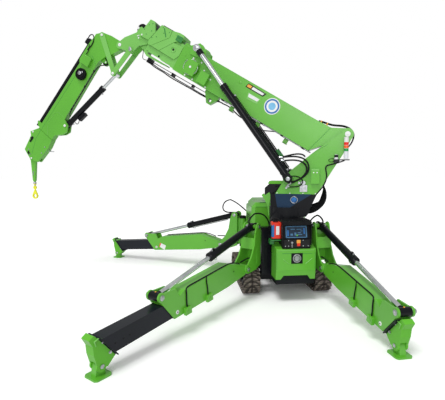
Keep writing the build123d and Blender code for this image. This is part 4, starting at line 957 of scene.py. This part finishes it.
def fit_tracks():
    """Track fittings."""
    for name, centre in (("left", -530), ("right", 530)):
        outer = centre + math.copysign(75, centre)
        out = math.copysign(1, centre)
        with piece("track_hubs_" + name, "chassis", GROUND, STEEL) as bm:
            for y in (-545, 505):
                for point in around(y, 185, 50, 8):
                    bar(bm, (outer, *point), (outer + out * 8, *point), 7, sides=6)
                bar(bm, (outer, y, 185), (outer + out * 14, y, 185), 26, 22, sides=24)
        with piece("track_tread_" + name, "chassis", GROUND, RUBBER) as bm:
            pitch = 1050 / 16
            for step in range(16):
                y = -545 + pitch * step
                for half in (-1, 1):
                    middle = y + pitch * (0.5 + 0.12 * half)
                    x = sorted((centre + half * 22, centre + half * 112))
                    box(bm, x, (middle - 9, middle + 9), (3, 27))
                    box(bm, x, (middle - 9, middle + 9), (343, 367))
            for end, first in ((505, -90), (-545, 90)):
                for step in range(8):
                    angle = math.radians(first + 22.5 * (step + 0.5))
                    for half in (-1, 1):
                        turned = angle + math.radians(2.6 * half)
                        along = Vector((0, math.cos(turned), math.sin(turned)))
                        start = Vector((centre + half * 67, end, 185)) + along * 158
                        bmesh.ops.create_cube(bm, size=1, matrix=Matrix.Translation(start + along * 12)
                            @ Matrix.Rotation(turned, 4, "X") @ Matrix.Diagonal((90, 24, 18, 1)))


class CRANE_OT_tracks(bpy.types.Operator):
    """Fits the tracks: tread blocks, wheel hubs and their bolts"""

    bl_idname = "crane.tracks"
    bl_label = "Track fittings"

    def execute(self, context):
        fit_tracks()
        return {"FINISHED"}


# Stage

class CraneStageSettings(bpy.types.PropertyGroup):
    """The camera's place, aim and focal length."""

    camera_place: FloatVectorProperty(name="Camera place",
        description="Where the camera stands, in the machine's axes", size=3, subtype="TRANSLATION",
        unit="LENGTH", default=(-1.476, -5.826, 1.813))
    camera_yaw: FloatProperty(name="Camera yaw",
        description="How far the camera looks to the right of forward", subtype="ANGLE",
        default=math.radians(6.496))
    camera_pitch: FloatProperty(name="Camera pitch", description="How far the camera looks down",
        subtype="ANGLE", default=math.radians(4.292))
    focal_share: FloatProperty(name="Focal length",
        description="Focal length as a share of the picture's width", default=371.4 / 445)


class CRANE_OT_stage(bpy.types.Operator):
    """Makes the floor, the lamps, the world and the camera"""

    bl_idname = "crane.stage"
    bl_label = "Stage"

    def execute(self, context):
        settings = context.scene.crane_stage
        scene = context.scene
        scene.view_settings.view_transform = "Standard"

        floor_mesh = bpy.data.meshes.new("floor")
        bm = bmesh.new()
        bmesh.ops.create_grid(bm, x_segments=1, y_segments=1, size=60)
        bm.to_mesh(floor_mesh)
        bm.free()
        floor = bpy.data.objects.new("floor", floor_mesh)
        scene.collection.objects.link(floor)
        floor.location.z = -0.001
        floor_paint = bpy.data.materials.new("floor_white")
        floor_paint.use_nodes = True
        tree = floor_paint.node_tree
        tree.nodes.clear()
        rays = add_node(tree, "ShaderNodeLightPath")
        plain = add_node(tree, "ShaderNodeBsdfDiffuse", None, {"Color": (0.8, 0.8, 0.8, 1)})
        seen = add_node(tree, "ShaderNodeBsdfDiffuse", None, {"Color": (1.16, 1.16, 1.16, 1)})
        mix = add_node(tree, "ShaderNodeMixShader", None, {0: rays.outputs["Is Camera Ray"],
            1: plain.outputs[0], 2: seen.outputs[0]})
        add_node(tree, "ShaderNodeOutputMaterial", None, {"Surface": mix.outputs[0]})
        floor.data.materials.append(floor_paint)

        world = bpy.data.worlds.new("studio")
        scene.world = world
        world.use_nodes = True
        tree = world.node_tree
        tree.nodes.clear()
        rays = add_node(tree, "ShaderNodeLightPath")
        mirrored = add_node(tree, "ShaderNodeMapRange", None, {"Value": rays.outputs["Is Glossy Ray"],
            "To Min": 0.52, "To Max": 0.45})
        strength = add_node(tree, "ShaderNodeMapRange", None, {"Value": rays.outputs["Is Camera Ray"],
            "To Min": mirrored.outputs["Result"], "To Max": 1.0})
        back = add_node(tree, "ShaderNodeBackground", None, {"Color": (1, 1, 1, 1),
            "Strength": strength.outputs["Result"]})
        add_node(tree, "ShaderNodeOutputWorld", None, {"Surface": back.outputs["Background"]})

        for name, place, strength, angle in (("key_lamp", (-2.0, -2.2, 6.0), 1.5, 24.0), ("fill_lamp",
                (-1.5, -5.0, 1.6), 0.75, 30.0),):
            light = bpy.data.lights.new(name, "SUN")
            light.energy = strength
            light.angle = math.radians(angle)
            lamp = bpy.data.objects.new(name, light)
            scene.collection.objects.link(lamp)
            lamp.location = place
            lamp.rotation_euler = (-lamp.location).to_track_quat("-Z", "Y").to_euler()

        lens = bpy.data.cameras.new("camera")
        lens.sensor_width = 36.0
        lens.lens = 36.0 * settings.focal_share
        lens.shift_x = (222.5 - 226.86) / 445
        lens.shift_y = (197.04 - 200.0) / 445
        lens.clip_end = 200
        camera = bpy.data.objects.new("camera", lens)
        scene.collection.objects.link(camera)
        camera.location = MACHINE + Vector(settings.camera_place)
        camera.rotation_euler = (math.pi / 2 - settings.camera_pitch, 0.0, -settings.camera_yaw)
        scene.camera = camera
        return {"FINISHED"}


class CRANE_PT_panel(bpy.types.Panel):
    """Lists the crane's operators"""

    bl_idname = "CRANE_PT_panel"
    bl_label = "Spider crane"
    bl_space_type = "VIEW_3D"
    bl_region_type = "UI"
    bl_category = "Crane"

    def draw(self, context):
        for operator in OPERATORS:
            self.layout.operator(operator.bl_idname)


OPERATORS = (CRANE_OT_stage, CRANE_OT_paint, CRANE_OT_boom, CRANE_OT_jib, CRANE_OT_column,
    CRANE_OT_outriggers, CRANE_OT_covers, CRANE_OT_tracks)
CLASSES = (CraneStageSettings,) + OPERATORS + (CRANE_PT_panel,)


def register():
    for cls in CLASSES:
        bpy.utils.register_class(cls)
    bpy.types.Scene.crane_stage = PointerProperty(type=CraneStageSettings)


def unregister():
    del bpy.types.Scene.crane_stage
    for cls in reversed(CLASSES):
        bpy.utils.unregister_class(cls)


def main():
    register()
    for operator in OPERATORS:
        group, action = operator.bl_idname.split(".")
        getattr(getattr(bpy.ops, group), action)()


if __name__ == "__main__":
    main()
